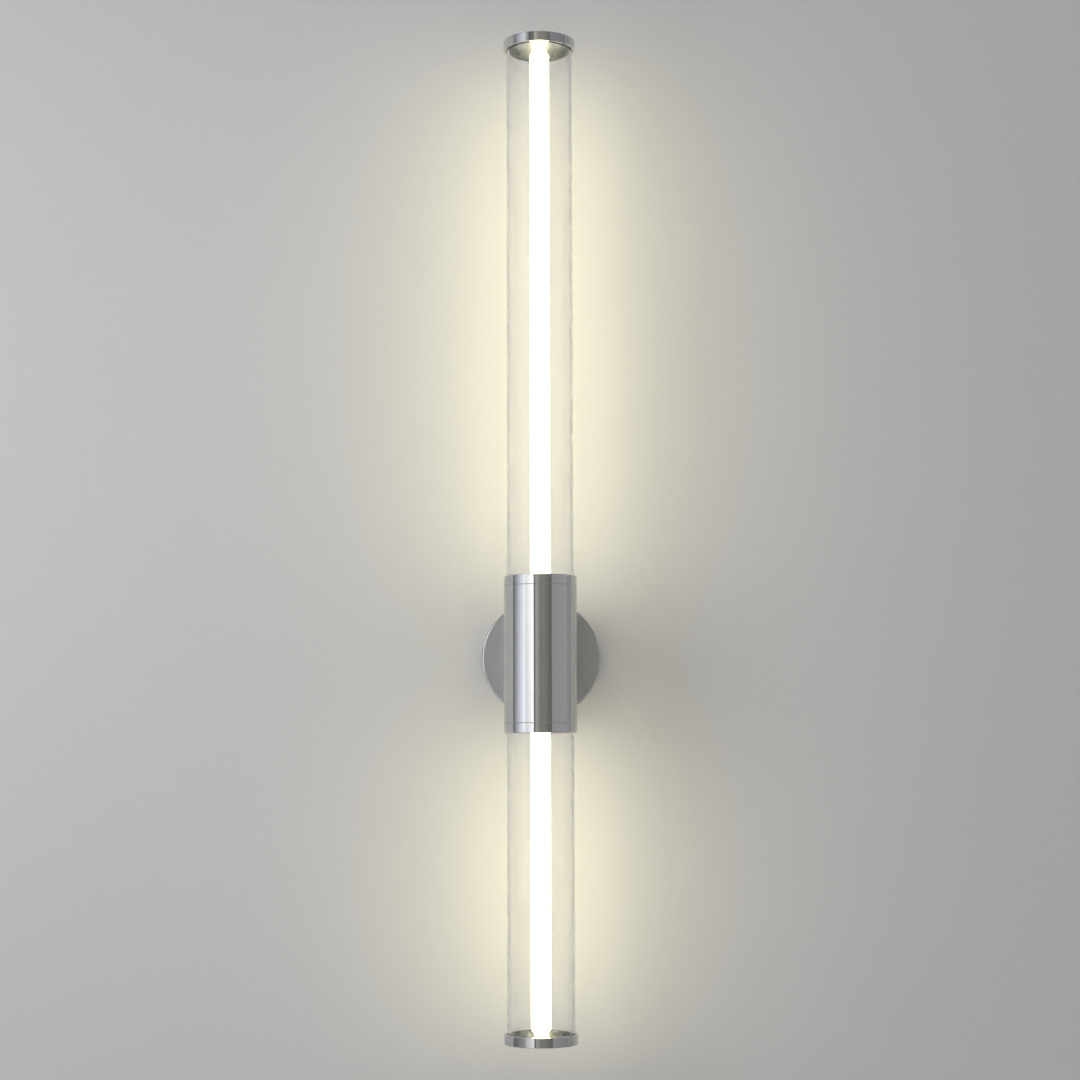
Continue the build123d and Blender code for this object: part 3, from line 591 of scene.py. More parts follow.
def new_piece(name: str, mesh: Mesh) -> Piece:
    """Link a mesh to the scene as a piece.

    Args:
        name: The piece's name.
        mesh: Its mesh, already in place.

    Returns:
        The piece.
    """
    piece = link(name, mesh)
    settle(piece)
    return piece


def turn(
    name: str,
    outline: Outline,
    spindle: Spindle,
    steps: int = TURN_STEPS,
    end_level: Callable[[float], float] | None = None,
    slot_at: Callable[[float, float], int] | None = None,
) -> Piece:
    """Turn a closed outline about a line, as on a lathe.

    Args:
        name: The piece's name.
        outline: Radius and level of each point. A radius of 0 closes the piece on the line.
        spindle: The line.
        steps: Number of faces round the piece.
        end_level: Level of a point whose level is infinite, from its sideways distance.
        slot_at: Material slot of the outline's run round this radius and level.

    Returns:
        The piece, with an attribute "turned" that holds the distance along the outline in metres.
    """
    mesh = bpy.data.meshes.new(name)
    work = bmesh.new()
    turned = work.verts.layers.float.new("turned")
    rings: list[list[bmesh.types.BMVert]] = []
    run = 0.0
    for index, (radius, level) in enumerate(outline):
        known = level if math.isfinite(level) else 0.0
        if index and math.isfinite(level) and math.isfinite(outline[index - 1][1]):
            run += math.dist(outline[index], outline[index - 1])
        elif index:
            run += abs(radius - outline[index - 1][0])
        ring = []
        for step in range(1 if radius < SAME_POINT else steps):
            angle = math.tau * step / steps
            if end_level and not math.isfinite(level):
                known = end_level(radius * math.cos(angle))
            vert = work.verts.new(spindle.point(radius, known, angle))
            vert[turned] = run * MM
            ring.append(vert)
        rings.append(ring)
    for index, ring in enumerate(rings):
        after = (index + 1) % len(rings)
        following = rings[after]
        middle = [(here + there) / 2 for here, there in zip(outline[index], outline[after])]
        slot = slot_at(*middle) if slot_at else 0
        for step in range(steps):
            near, far = step, (step + 1) % steps
            corners = [ring[near % len(ring)], ring[far % len(ring)]]
            corners += [following[far % len(following)], following[near % len(following)]]
            unique = list(dict.fromkeys(corners))
            if len(unique) > 2:
                work.faces.new(unique).material_index = slot
    bmesh.ops.recalc_face_normals(work, faces=work.faces)
    for _ in range(1 + max(face.material_index for face in work.faces)):
        mesh.materials.append(None)
    work.to_mesh(mesh)
    work.free()
    return new_piece(name, mesh)


def cut(piece: Piece, cutters: Sequence[Piece]) -> None:
    """Cut closed shapes out of a piece and remove the shapes.

    Args:
        piece: The piece that is cut.
        cutters: The shapes that are taken away.
    """
    for cutter in cutters:
        modifier = piece.modifiers.new("cut", "BOOLEAN")
        modifier.operation, modifier.solver, modifier.object = "DIFFERENCE", "EXACT", cutter
    settle(piece)
    for cutter in cutters:
        bpy.data.meshes.remove(cutter.data)


def drill(foot: Place, heading: Place, radius: float, depth: float) -> Piece:
    """Make a round cutter.

    Args:
        foot: Where the hole starts, in millimetres.
        heading: The hole's direction.
        radius: The hole's radius.
        depth: The hole's depth.

    Returns:
        The cutter.
    """
    spindle = Spindle(foot, heading, tuple(Vector(heading).orthogonal().normalized()))
    outline = [(0.0, 0.0), (radius, 0.0), (radius, depth), (0.0, depth)]
    return turn("drill", outline, spindle, steps=DRILL_STEPS)


# ---- geometry node trees


def new_tree(name: str, sockets: dict[str, str]) -> tuple[Tree, dict[str, Socket]]:
    """Start a geometry tree with named inputs.

    Args:
        name: The tree's name.
        sockets: Each input's name and kind.

    Returns:
        The tree and the sockets that give its inputs.
    """
    tree = bpy.data.node_groups.new(name, "GeometryNodeTree")
    for label, kind in sockets.items():
        tree.interface.new_socket(label, in_out="INPUT", socket_type=f"NodeSocket{kind}")
    tree.interface.new_socket("Geometry", in_out="OUTPUT", socket_type="NodeSocketGeometry")
    return tree, dict(add_node(tree, "NodeGroupInput").items())


def end_tree(tree: Tree, shape: Socket, material: Socket) -> None:
    """End a geometry tree in realised instances and their material.

    Args:
        tree: The tree.
        shape: The geometry to give out.
        material: The material for all of it.
    """
    real = add_node(tree, "GeometryNodeRealizeInstances", {0: shape})[0]
    dressed = add_node(tree, "GeometryNodeSetMaterial", {"Geometry": real, "Material": material})
    add_node(tree, "NodeGroupOutput", {0: dressed[0]})


def grow(name: str, tree: Tree, sizes: dict[str, object]) -> Piece:
    """Run a geometry tree and keep its result as a plain piece.

    Args:
        name: The piece's name.
        tree: The tree.
        sizes: Each named input's value, in metres.

    Returns:
        The piece.
    """
    seed = link(f"{name}_seed", bpy.data.meshes.new(f"{name}_seed"))
    modifier = seed.modifiers.new("grow", "NODES")
    modifier.node_group = tree
    for item in tree.interface.items_tree:
        if item.in_out == "INPUT":
            modifier[item.identifier] = sizes[item.name]
    mesh = evaluated_mesh(seed)
    mesh.name = name
    bpy.data.meshes.remove(seed.data)
    return new_piece(name, mesh)


def ring_tree() -> Tree:
    """Build the tree of a plain tube: a section with eased edges, swept round the tubes' axis.

    Returns:
        The tree.
    """
    floats = dict.fromkeys(("Outer radius", "Wall", "Start", "End", "Edge round"), "Float")
    tree, sizes = new_tree("plain_tube", floats | {"Steps": "Int", "Material": "Material"})
    for name, first, operation, second in (
        ("half wall", "Wall", "MULTIPLY", 0.5),
        ("middle", "Outer radius", "SUBTRACT", "half wall"),
        ("length", "End", "SUBTRACT", "Start"),
        ("both ends", "End", "ADD", "Start"),
        ("centre", "both ends", "MULTIPLY", 0.5),
    ):
        terms = {0: sizes[first], 1: sizes.get(second, second)}
        sizes[name] = add_node(tree, "ShaderNodeMath", terms, operation=operation)[0]
    circle = {"Resolution": sizes["Steps"], "Radius": sizes["middle"]}
    path = add_node(tree, "GeometryNodeCurvePrimitiveCircle", circle)[0]
    block = {"Width": sizes["Wall"], "Height": sizes["length"]}
    section = add_node(tree, "GeometryNodeCurvePrimitiveQuadrilateral", block)[0]
    edges = {"Curve": section, "Count": ROUND_STEPS, "Radius": sizes["Edge round"]}
    eased = add_node(tree, "GeometryNodeFilletCurve", edges, mode="POLY")[0]
    swept = add_node(tree, "GeometryNodeCurveToMesh", {"Curve": path, "Profile Curve": eased})[0]
    offset = add_node(tree, "ShaderNodeCombineXYZ", {"Y": -AXIS_LEVEL * MM, "Z": sizes["centre"]})[0]
    placed = add_node(tree, "GeometryNodeTransform", {"Geometry": swept, "Translation": offset})[0]
    place = add_node(tree, "GeometryNodeInputPosition")[0]
    height = add_node(tree, "ShaderNodeSeparateXYZ", {0: place})["Z"]
    marks = {"Geometry": placed, "Name": "turned", "Value": height}
    marked = add_node(tree, "GeometryNodeStoreNamedAttribute", marks, data_type="FLOAT", domain="POINT")
    end_tree(tree, marked[0], sizes["Material"])
    return tree


def plain_tube(
    name: str, outer_d: float, wall: float, ends: Sequence[float], edge_round: float, finish: Finish
) -> Piece:
    """Build a plain tube on the tubes' axis.

    Args:
        name: The piece's name.
        outer_d: Outer diameter.
        wall: Wall thickness.
        ends: Heights of its lower and its upper end.
        edge_round: Rounding of its edges.
        finish: Its finish.

    Returns:
        The tube.
    """
    labels = "Outer radius", "Wall", "Start", "End", "Edge round"
    lengths = outer_d / 2, wall, *ends, edge_round
    sizes = {label: length * MM for label, length in zip(labels, lengths)}
    return grow(name, ring_tree(), sizes | {"Steps": TURN_STEPS, "Material": finish.material()})


def screw_tree() -> Tree:
    """Build the tree that sets screws along a line and turns each head by a random angle.

    Returns:
        The tree.
    """
    vectors = dict.fromkeys(("First place", "Last place", "First turn", "Last turn"), "Vector")
    others = {"Screw": "Object", "Count": "Int", "Seed": "Int", "Material": "Material"}
    tree, get = new_tree("screw_row", vectors | others)
    row = {"Count": get["Count"], "Start Location": get["First place"], "Offset": get["Last place"]}
    line = add_node(tree, "GeometryNodeMeshLine", row, mode="END_POINTS")[0]
    index = add_node(tree, "GeometryNodeInputIndex")[0]
    last = add_node(tree, "ShaderNodeMath", {0: get["Count"], 1: 1.0}, operation="SUBTRACT")[0]
    share = add_node(tree, "ShaderNodeMath", {0: index, 1: last}, operation="DIVIDE")[0]
    turns = {0: share, 4: get["First turn"], 5: get["Last turn"]}
    facing = add_node(tree, "ShaderNodeMix", turns, data_type="VECTOR")[1]
    shape = add_node(tree, "GeometryNodeObjectInfo", {"Object": get["Screw"]})["Geometry"]
    seats = {"Points": line, "Instance": shape, "Rotation": facing}
    set_out = add_node(tree, "GeometryNodeInstanceOnPoints", seats)[0]
    draw = {"Max": math.pi, "ID": index, "Seed": get["Seed"]}
    angle = add_node(tree, "FunctionNodeRandomValue", draw, data_type="FLOAT")[1]
    roll = add_node(tree, "ShaderNodeCombineXYZ", {"Z": angle})[0]
    rolled = add_node(tree, "GeometryNodeRotateInstances", {"Instances": set_out, "Rotation": roll})
    end_tree(tree, rolled[0], get["Material"])
    return tree


# ---- sub-assemblies


class SubAssembly(ABC):
    """Pieces that belong together, built and fitted to the frame in one go."""

    @abstractmethod
    def build(self) -> list[Piece]:
        """Build the sub-assembly's pieces and return them."""

    @staticmethod
    def fit(piece: Piece, node: str, slot: str, *finishes: Finish) -> Piece:
        """Give a piece its finish and let it stand for a CAD node.

        Args:
            piece: The piece.
            node: The CAD node that it stands for.
            slot: The record's material slot; it is not used.
            *finishes: The finishes of its material slots, in order.

        Returns:
            The piece.
        """
        slots = piece.data.materials
        for index, finish in enumerate(finishes):
            # Clearing the list would set every face back to its first slot, so it is filled in place.
            if index == len(slots):
                slots.append(None)
            slots[index] = finish.material()
        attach(piece, BODY)
        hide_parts(node)
        return piece


@dataclass
class ScrewShape:
    """A screw with a cross recess, its head pointing along +z and its seat at 0."""

    head_d: float
    shank_d: float
    length: float
    head_height: float
    countersunk: bool = False
    side_share: float = 0.25
    dome_steps: int = 7
    recess_share: float = 0.55
    recess_width: float = 0.8
    recess_depth: float = 1.1
    foot_reach: float = 0.28
    foot_width: float = 0.36
    tip: float = 0.4

    def outline(self) -> Outline:
        """Draw half the screw, from its tip up.

        Returns:
            The outline's points.
        """
        head_r, shank_r = self.head_d / 2, self.shank_d / 2
        points: Outline = [(0.0, -self.length), (shank_r - self.tip, -self.length)]
        points.append((shank_r, -self.length + self.tip))
        if self.countersunk:
            return [*points, (shank_r, -(head_r - shank_r)), (head_r, 0.0), (0.0, 0.0)]
        side = self.head_height * self.side_share
        points += [(shank_r, 0.0), (head_r, 0.0), (head_r, side)]
        # A shallow dome: an ellipse from the head's side up to its middle.
        for step in range(1, self.dome_steps):
            angle = math.pi / 2 * step / self.dome_steps
            rise = (self.head_height - side) * math.sin(angle)
            points.append((head_r * math.cos(angle), side + rise))
        return [*points, (0.0, self.head_height)]

    def recess(self, top: float) -> Piece:
        """Make the cutter of the cross recess, narrower towards its foot.

        Args:
            top: Level of the head's highest point.

        Returns:
            The cutter.
        """
        span, width, depth = self.head_d * self.recess_share, self.recess_width, self.recess_depth
        mesh, work, loops = bpy.data.meshes.new("recess"), bmesh.new(), []
        foot = (top - depth, span * self.foot_reach, width * self.foot_width)
        for level, reach, half in (foot, (top + depth, span / 2, width / 2)):
            arm = [(half, reach), (half, half), (reach, half)]
            arm += [(x, -y) for x, y in reversed(arm)]
            plus = arm + [(-x, -y) for x, y in arm]
            loops.append([work.verts.new(Vector((x, y, level)) * MM) for x, y in plus])
        work.faces.new(loops[0])
        work.faces.new(reversed(loops[1]))
        for index in range(len(loops[0])):
            after = (index + 1) % len(loops[0])
            work.faces.new([loops[0][after], loops[0][index], loops[1][index], loops[1][after]])
        bmesh.ops.recalc_face_normals(work, faces=work.faces)
        work.to_mesh(mesh)
        work.free()
        return new_piece("recess", mesh)

    def pair(self, name: str, first: Place, last: Place, seed: int) -> Piece:
        """Set two screws, the first with its head down and the last with its head up.

        Args:
            name: The piece's name.
            first: The first screw's seat, in millimetres.
            last: The last screw's seat.
            seed: Seed of each head's random turn.

        Returns:
            The piece.
        """
        screw = turn("screw_shape", self.outline(), SCREW_LINE, steps=SCREW_STEPS)
        cut(screw, [self.recess(0.0 if self.countersunk else self.head_height)])
        sizes = {
            "Screw": screw,
            "Count": 2,
            "First place": tuple(length * MM for length in first),
            "Last place": tuple(length * MM for length in last),
            "First turn": (math.pi, 0.0, 0.0),
            "Last turn": (0.0, 0.0, 0.0),
            "Seed": seed,
            "Material": NICKEL_SCREW.material(),
        }
        row = grow(name, screw_tree(), sizes)
        bpy.data.meshes.remove(screw.data)
        return row


@dataclass
class WallPlate(SubAssembly):
    """The round plate on the wall and the two screws in its rim."""

    diameter: float = 100.0
    depth: float = 22.0
    rim_wall: float = 1.5
    face_wall: float = 2.0
    edge_round: float = 1.0
    back_round: float = 0.2
    inner_round: float = 0.2
    screw_level: float = 11.0
    screw_hole_r: float = 2.15
    screw_seed: int = 4

    def build(self) -> list[Piece]:
        """Build the plate and its screws.

        Returns:
            The plate and the screws.
        """
        outer, inner = self.diameter / 2, self.diameter / 2 - self.rim_wall
        back = self.depth - self.face_wall
        outline = rounded(
            [
                (inner, 0.0, 0.0),
                (outer, 0.0, self.back_round),
                (outer, self.depth, self.edge_round),
                (NIPPLE_HOLE_R, self.depth, 0.0),
                (NIPPLE_HOLE_R, back, 0.0),
                (inner, back, self.inner_round),
            ]
        )

        def slot_at(radius: float, level: float) -> int:
            """Return 1 on the rounded edge and 0 elsewhere."""
            return int(radius > outer - self.edge_round and -self.edge_round < level - self.depth < 0)

        plate = turn("wall_plate_cup", outline, OUT_OF_WALL, slot_at=slot_at)
        foot = (0.0, -self.screw_level, -self.diameter)
        side = drill(foot, (0.0, 0.0, 1.0), self.screw_hole_r, 2 * self.diameter)
        foot = (0.0, -self.depth - 1, -PIN_OFFSET)
        pin = drill(foot, (0.0, 1.0, 0.0), PIN_HOLE_R, 2 * self.face_wall)
        cut(plate, [side, pin])
        seats = [(0.0, -self.screw_level, height) for height in (-outer, outer)]
        shape = ScrewShape(head_d=7.0, shank_d=4.0, length=7.0, head_height=2.4)
        row = shape.pair("wall_plate_screws", *seats, self.screw_seed)
        return [
            self.fit(plate, "wall_plate", "nickel_plate", SATIN_NICKEL_FACING, POLISHED_EDGE),
            self.fit(row, "plate_side_screws", "nickel_screw"),
        ]


@dataclass
class StandoffPost(SubAssembly):
    """The post between the plate and the sleeve, with a saddle at its far end."""

    diameter: float = 32.0
    foot_level: float = 22.0
    foot_chamfer: float = 0.8
    sleeve_r: float = 30.05
    saddle_rings: int = 5

    def saddle(self, sideways: float) -> float:
        """Return the level where the post meets the sleeve, this far to the side."""
        return AXIS_LEVEL - math.sqrt(self.sleeve_r**2 - sideways**2)

    def build(self) -> list[Piece]:
        """Build the post.

        Returns:
            The post.
        """
        outer = self.diameter / 2
        points: Outline = [(NIPPLE_HOLE_R, self.foot_level), (outer - self.foot_chamfer, self.foot_level)]
        points.append((outer, self.foot_level + self.foot_chamfer))
        for step in range(self.saddle_rings + 1):
            points.append((outer + (NIPPLE_HOLE_R - outer) * step / self.saddle_rings, math.inf))
        post = turn("standoff_post_turned", points, OUT_OF_WALL, end_level=self.saddle)
        return [self.fit(post, "standoff_post", "nickel_plate", SATIN_NICKEL_FACING)]


@dataclass
class Sleeve(SubAssembly):
    """The metal sleeve that joins the two arms."""

    diameter: float = 60.0
    wall: float = 1.2
    length: float = 112.0
    edge_round: float = 0.3

    def build(self) -> list[Piece]:
        """Build the sleeve and drill its back for the nipple and the pin.

        Returns:
            The sleeve.
        """
        ends = (-self.length / 2, self.length / 2)
        sleeve = plain_tube(
            "sleeve_tube", self.diameter, self.wall, ends, self.edge_round, SATIN_NICKEL_UPRIGHT
        )
        start, out, reach = self.diameter - AXIS_LEVEL, (0.0, -1.0, 0.0), self.diameter
        holes = (0.0, NIPPLE_HOLE_R), (PIN_OFFSET, PIN_HOLE_R)
        cut(sleeve, [drill((0.0, start, level), out, radius, reach) for level, radius in holes])
        return [self.fit(sleeve, "sleeve", "nickel_plate")]


@dataclass
class Arm(SubAssembly):
    """One arm: its collar, clear tube, lit core and end cap."""

    name: str
    spindle: Spindle
    exposed_length: float
    tube_d: float = 55.0
    tube_wall: float = 2.0
    tube_start: float = 51.0
    tube_edge_round: float = 0.3
    sleeve_half: float = 56.0
    collar_height: float = 8.0
    collar_outer_r: float = 30.0
    collar_bore_r: float = 27.65
    spigot_outer_r: float = 28.75
    spigot_foot: float = 44.0
    spigot_bore_round: float = 0.2
    spigot_edge_round: float = 0.3
    lip_bore_r: float = 23.0
    lip_top: float = 46.5
    seam_round: float = 0.3
    core_d: float = 16.0
    core_wall: float = 1.5
    core_start: float = 41.0
    neck_d: float = 11.0
    neck_length: float = 3.0
    shoulder_length: float = 7.5
    shoulder_steps: int = 14
    plug_spigot_r: float = 6.4
    plug_spigot_length: float = 6.0
    screw_bore_r: float = 1.65
    cap_height: float = 8.0
    cap_disc: float = 3.3
    cap_rim_wall: float = 2.0
    cap_spigot_r: float = 25.35
    cap_spigot_wall: float = 1.5
    cap_seal: float = 1.0
    cap_edge_round: float = 0.4
    cap_lip_round: float = 0.3
    cap_ring_round: float = 0.25
    countersink_r: float = 3.15

    @property
    def cap_edge(self) -> float:
        """Level of the cap's open edge."""
        return self.sleeve_half + self.collar_height + self.exposed_length

    @property
    def disc_face(self) -> float:
        """Level of the cap's inner face."""
        return self.cap_edge + self.cap_height - self.cap_disc

    @property
    def core_end(self) -> float:
        """Level where the core's straight part ends."""
        return self.disc_face - self.neck_length - self.shoulder_length

    def collar(self) -> Piece:
        """Build the collar: the visible ring, the spigot in the sleeve and the lip.

        Returns:
            The collar.
        """
        foot, top = self.sleeve_half, self.sleeve_half + self.collar_height
        outline = rounded(
            [
                (self.lip_bore_r, self.lip_top, 0.0),
                (self.lip_bore_r, self.spigot_foot, self.spigot_bore_round),
                (self.spigot_outer_r, self.spigot_foot, self.spigot_edge_round),
                (self.spigot_outer_r, foot, 0.0),
                (self.collar_outer_r, foot, self.seam_round),
                (self.collar_outer_r, top, self.seam_round),
                (self.collar_bore_r, top, self.seam_round),
                (self.collar_bore_r, self.lip_top, 0.0),
            ]
        )
        collar = turn(f"{self.name}_collar_ring", outline, self.spindle)
        return self.fit(collar, f"{self.name}_collar", "nickel_plate", SATIN_NICKEL_UPRIGHT)

    def core_plug(self) -> Piece:
        """Build the plug that narrows the lit core to its neck.

        Returns:
            The plug.
        """
        wide, narrow = self.core_d / 2, self.neck_d / 2
        spigot_foot = self.core_end - self.plug_spigot_length
        points: Outline = [(self.screw_bore_r, spigot_foot), (self.plug_spigot_r, spigot_foot)]
        points.append((self.plug_spigot_r, self.core_end))
        for step in range(self.shoulder_steps + 1):
            share = step / self.shoulder_steps
            blend = share * share * (3 - 2 * share)
            run = (3 * share * (1 - share) ** 2 + 3 * share**2 * (1 - share)) / 2 + share**3
            points.append((wide + (narrow - wide) * blend, self.core_end + self.shoulder_length * run))
        points += [(narrow, self.disc_face), (self.screw_bore_r, self.disc_face)]
        plug = turn(f"{self.name}_core_neck", points, self.spindle, steps=NECK_STEPS)
        return self.fit(plug, f"{self.name}_core_plug", "opal_acrylic", LIT_OPAL)

    def end_cap(self) -> Piece:
        """Build the cap: its disc, its rim round the tube and its ring in the tube's bore.

        Returns:
            The cap.
        """
        edge, face, top = self.cap_edge, self.disc_face, self.cap_edge + self.cap_height
        outer, rim_in = self.collar_outer_r, self.collar_outer_r - self.cap_rim_wall
        ring_out, ring_in = self.cap_spigot_r, self.cap_spigot_r - self.cap_spigot_wall
        outline = rounded(
            [
                (self.screw_bore_r, face, 0.0),
                (ring_in, face, 0.0),
                (ring_in, edge, self.cap_ring_round),
                (ring_out, edge, self.cap_ring_round),
                (ring_out, face, 0.0),
                (rim_in, face, 0.0),
                (rim_in, edge, self.cap_ring_round),
                (outer, edge, self.cap_lip_round),
                (outer, top, self.cap_edge_round),
                (self.countersink_r, top, 0.0),
                (self.screw_bore_r, top - (self.countersink_r - self.screw_bore_r), 0.0),
            ]
        )

        def slot_at(radius: float, level: float) -> int:
            """Return 1 on the polished disc, 2 on the rough ring and 0 elsewhere."""
            if level == face and radius < ring_in:
                return 1
            return 2 if level < face and radius <= ring_out else 0

        cap = turn(f"{self.name}_end_cap_turned", outline, self.spindle, slot_at=slot_at)
        finishes = SATIN_NICKEL_UPRIGHT, MIRROR_NICKEL, ROUGH_CUT_RING
        return self.fit(cap, f"{self.name}_end_cap", "nickel_plate", *finishes)

    def build(self) -> list[Piece]:
        """Build the arm.

        Returns:
            The collar, the clear tube, the lit core, its plug and the end cap.
        """
        tube_end, tubes = self.disc_face - self.cap_seal, []
        clear = (self.tube_d, self.tube_wall, self.tube_start, tube_end)
        lit = (self.core_d, self.core_wall, self.core_start, self.core_end)
        for (outer_d, wall, *levels), label, finish, node, slot in (
            (clear, "clear_outer_tube", CLEAR_ACRYLIC, "clear_tube", "clear_acrylic"),
            (lit, "lit_core", LIT_OPAL, "diffuser", "opal_acrylic"),
        ):
            ends = sorted(self.spindle.heading[2] * level for level in levels)
            tube = plain_tube(f"{self.name}_{label}", outer_d, wall, ends, self.tube_edge_round, finish)
            tubes.append(self.fit(tube, f"{self.name}_{node}", slot))
        return [self.collar(), *tubes, self.core_plug(), self.end_cap()]


@dataclass
class CapScrews(SubAssembly):
    """The countersunk screw in the middle of each end cap."""

    upper_face: float = 515.0
    lower_face: float = -313.0
    seed: int = 9

    def build(self) -> list[Piece]:
        """Build both screws.

        Returns:
            The screws, which are one piece.
        """
        shape = ScrewShape(head_d=6.0, shank_d=3.0, length=30.0, head_height=0.0, countersunk=True)
        seats = [(0.0, -AXIS_LEVEL, face) for face in (self.lower_face, self.upper_face)]
        row = shape.pair("end_cap_screw_pair", *seats, self.seed)
        return [self.fit(row, "end_cap_screws", "nickel_screw")]


@dataclass
class FrameDressing(SubAssembly):
    """The CAD nodes that are shown as they are, each with the finish of its own slot."""

    def build(self) -> list[Piece]:
        """Dress the shown CAD nodes.

        Returns:
            The nodes.
        """
        dressed = []
        for name, node in sorted(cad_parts.items()):
            if node.hide_render:
                continue
            for slot in node.material_slots:
                finish = FINISH_BY_NODE.get(name) or FINISH_BY_SLOT[slot.material.name]
                slot.material = finish.material()
            dressed.append(node)
        return dressed


# ---- studio


def stage_sheet(
    name: str, corners: Sequence[Place], faces: Sequence[tuple[int, ...]], finish: Finish
) -> Piece:
    """Add a flat surface of the studio.

    Args:
        name: Its name.
        corners: Its corners in metres.
        faces: The corners of each face, counter-clockwise seen from its front.
        finish: Its finish.

    Returns:
        The surface.
    """
    mesh = bpy.data.meshes.new(name)
    mesh.from_pydata(corners, [], faces)
    mesh.materials.append(finish.material())
    surface = link(name, mesh)
    return surface


@dataclass
class LightPanel:
    """A tall panel that shows in the metal, but not to the camera, and lights nothing else."""

    name: str
    distance: float
    from_azimuth: float
    to_azimuth: float
    low: float
    high: float
    finish: PanelFinish

    def build(self) -> None:
        """Build the panel, facing the tubes' axis."""
        corners = []
        for azimuth, level in (
            (self.from_azimuth, self.low),
            (self.to_azimuth, self.low),
            (self.to_azimuth, self.high),
            (self.from_azimuth, self.high),
        ):
            angle = math.radians(azimuth)
            ahead = -AXIS_LEVEL * MM - math.cos(angle) * self.distance
            corners.append((math.sin(angle) * self.distance, ahead, level))
        panel = stage_sheet(self.name, corners, [(0, 3, 2, 1)], self.finish)
        uv = panel.data.uv_layers.new(name="panel")
        for loop, place in zip(panel.data.loops, ((0, 0), (0, 1), (1, 1), (1, 0))):
            uv.data[loop.index].uv = place
        panel.visible_camera = panel.visible_transmission = False
        panel.visible_shadow = panel.visible_diffuse = False


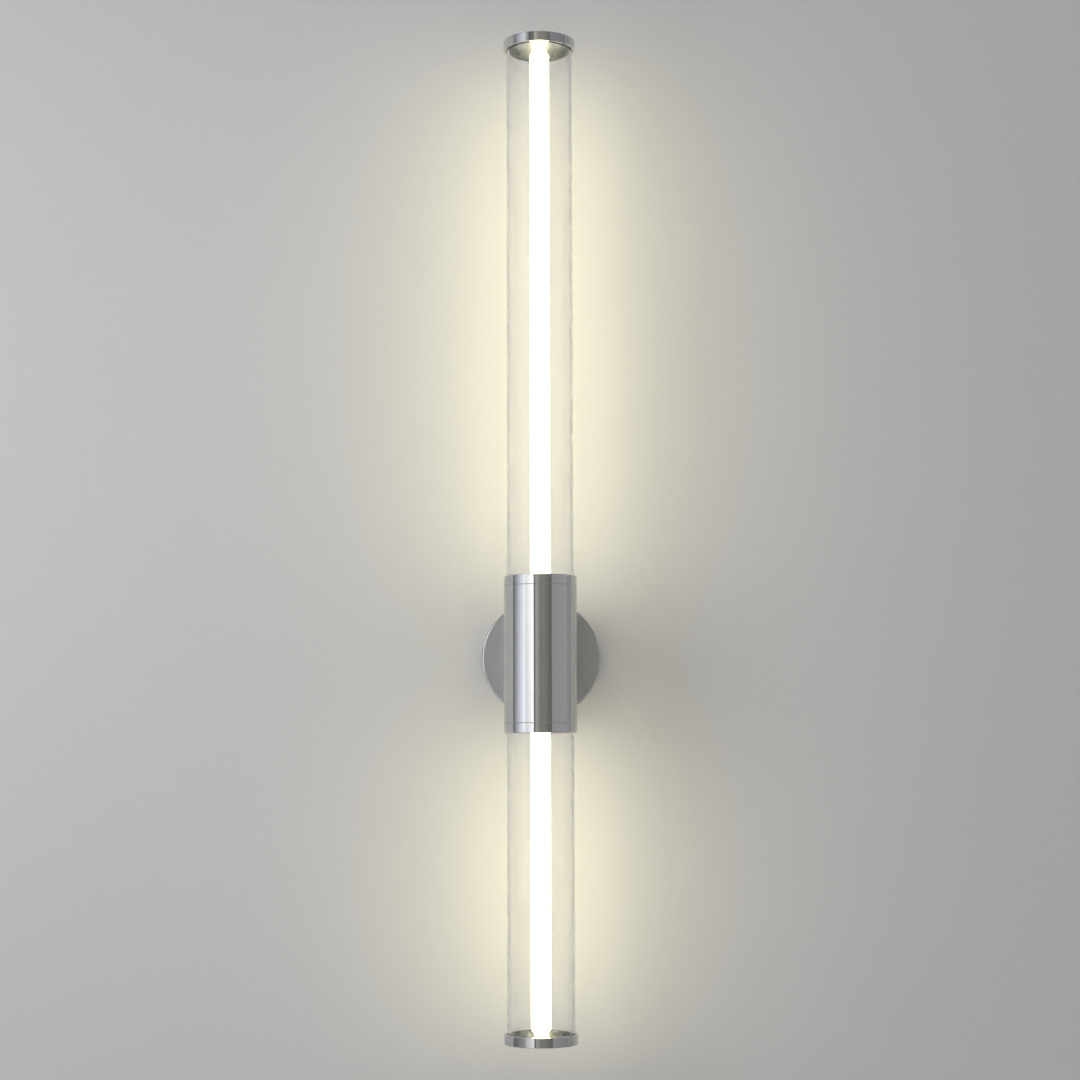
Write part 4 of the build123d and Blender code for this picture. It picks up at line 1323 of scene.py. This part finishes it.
@dataclass
class Studio:
    """The wall, the floor, the light and the camera."""

    wall_half: float = 2.4
    wall_top: float = 2.2
    wall_gap: float = 0.0004
    box_hole_r: float = 0.045
    box_hole_steps: int = 64
    floor_level: float = -0.85
    floor_reach: float = 3.2
    world_colour: str = "BBBBBE"
    panel_distance: float = 2.3
    softbox_place: Place = (-0.9, -0.8, 0.25)
    softbox_size: tuple[float, float] = (0.5, 0.8)
    softbox_power: float = 3.7
    lens: float = 71.67
    sensor: float = 36.0
    camera_place: Place = (0.015, -1.853, -0.078)
    camera_yaw: float = 0.493
    camera_pitch: float = 5.584
    camera_roll: float = -0.127

    def surfaces(self) -> None:
        """Add the floor and the wall, which shows from its front only and has a wiring box's hole."""
        half, low, top = self.wall_half, self.floor_level, self.wall_top
        angles = [math.tau * (step + 0.5) / self.box_hole_steps for step in range(self.box_hole_steps)]
        angles += [math.atan2(level, side) % math.tau for side in (-half, half) for level in (low, top)]
        corners, faces = [], []
        for index, angle in enumerate(sorted(angles)):
            across, up = math.cos(angle), math.sin(angle)
            reach = min(half / abs(across), (top if up > 0 else low) / up)
            corners += [(across * far, self.wall_gap, up * far) for far in (reach, self.box_hole_r)]
            after = (index + 1) % len(angles)
            faces.append((2 * index, 2 * after, 2 * after + 1, 2 * index + 1))
        stage_sheet("backdrop_wall", corners, faces, WALL_PAINT)
        reach = self.floor_reach
        floor = [(-reach, -reach, low), (reach, -reach, low), (reach, reach, low), (-reach, reach, low)]
        stage_sheet("floor", floor, [(0, 1, 2, 3)], FLOOR_PAINT)

    def lights(self) -> None:
        """Add the panels, a soft lamp on the left and the even light all round."""
        far = self.panel_distance
        # Each row: distance, azimuths of both sides, heights of foot and top, and the finish's colour
        # with its brightness at the left and the right, at the top, how it bends, and at the foot.
        for name, *places, shine in (
            ("window_left_pane", far, -88, -48, -0.35, 1.9, ("F0F4FF", 0.38, 1.86, 0.45, 1.15)),
            ("window_right_pane", far, -48, -20.5, -0.85, 0.85, ("FBFCFF", 1.1, 1.9, 1.32, 1.3, 0.52)),
            ("window_sill", far, -88, -48, -0.85, -0.35, ("F6F6F8", 0.17, 0.4)),
            ("blind", far, -48, -31, 0.85, 1.9, ("F4F5FA", 1.0, 0.12)),
            ("blind_edge", far, -31, -15.5, 0.85, 1.9, ("FFFCF2", 0.1, 0.22)),
            ("window_post", far, -20.5, -15.5, -0.85, 0.85, ("F0F0F2", 0.1, 0.1)),
            ("open_door", far, -15.5, 5, -0.85, 1.9, ("FFFCF2", 0.52, 0.19, 1.4, 0.8)),
            ("far_wall", far, 5, 36, -0.85, 1.9, ("FFFCF0", 0.26, 0.13, 1.45, 1.3)),
            ("side_wall_low", far, 36, 98, -0.85, -0.25, ("F2F2FA", 0.41, 0.3)),
            ("side_wall", far, 36, 98, -0.25, 0.7, ("F4F4FA", 0.42, 0.48)),
            ("side_wall_high", far, 36, 98, 0.7, 1.9, ("F2F2FA", 0.35, 0.27)),
            ("left_line", 1.2, -93.5, -88, -0.6, 0.8, ("E4E4EA", 0.2, 0.2)),
            ("right_line", 0.36, 101, 105.5, -0.6, 0.8, ("E4E4EA", 0.34, 0.34)),
        ):
            LightPanel(name, *places, PanelFinish(f"{name}_light", *shine)).build()
        lamp = bpy.data.lights.new("left_softbox", "AREA")
        lamp.shape, lamp.energy = "RECTANGLE", self.softbox_power
        lamp.size, lamp.size_y = self.softbox_size
        softbox = link("left_softbox", lamp)
        softbox.location = self.softbox_place
        softbox.rotation_euler = (-softbox.location).to_track_quat("-Z", "Y").to_euler()
        # Hidden from the metal and the clear tubes, where it would show as a hard bright bar.
        softbox.visible_glossy = softbox.visible_transmission = False
        world = bpy.data.worlds.new("even_light")
        world.use_nodes = True
        world.node_tree.nodes.clear()
        light = {"Color": linear(self.world_colour), "Strength": 1.0}
        even = add_node(world.node_tree, "ShaderNodeBackground", light)
        add_node(world.node_tree, "ShaderNodeOutputWorld", {"Surface": even[0]})
        bpy.context.scene.world = world

    def camera(self) -> None:
        """Add the camera, a little below the sleeve and looking slightly up."""
        data = bpy.data.cameras.new("front_view")
        data.lens, data.sensor_width = self.lens, self.sensor
        camera = link("front_view", data)
        yaw, pitch, roll = map(math.radians, (self.camera_yaw, self.camera_pitch, self.camera_roll))
        aim = Vector((-math.sin(yaw) * math.cos(pitch), math.cos(yaw) * math.cos(pitch), math.sin(pitch)))
        turned = aim.to_track_quat("-Z", "Y").to_matrix() @ Matrix.Rotation(roll, 3, "Z")
        camera.location = self.camera_place
        camera.rotation_euler = turned.to_euler()
        bpy.context.scene.camera = camera

    def build(self) -> None:
        """Build the whole studio."""
        self.camera()
        self.surfaces()
        self.lights()
        bpy.context.scene.view_settings.view_transform = "Standard"


def main() -> None:
    """Build the light's sub-assemblies in order."""
    logging.basicConfig(level=logging.INFO, format="%(name)s: %(message)s")
    assemblies: list[SubAssembly] = [
        WallPlate(),
        StandoffPost(),
        Sleeve(),
        Arm("upper", UPWARD, 443.0),
        Arm("lower", DOWNWARD, 241.0),
        CapScrews(),
        FrameDressing(),
    ]
    Studio().build()
    for assembly in assemblies:
        for piece in assembly.build():
            LOG.info("%s: %s, %d faces", type(assembly).__name__, piece.name, len(piece.data.polygons))


if __name__ == "__main__":
    main()
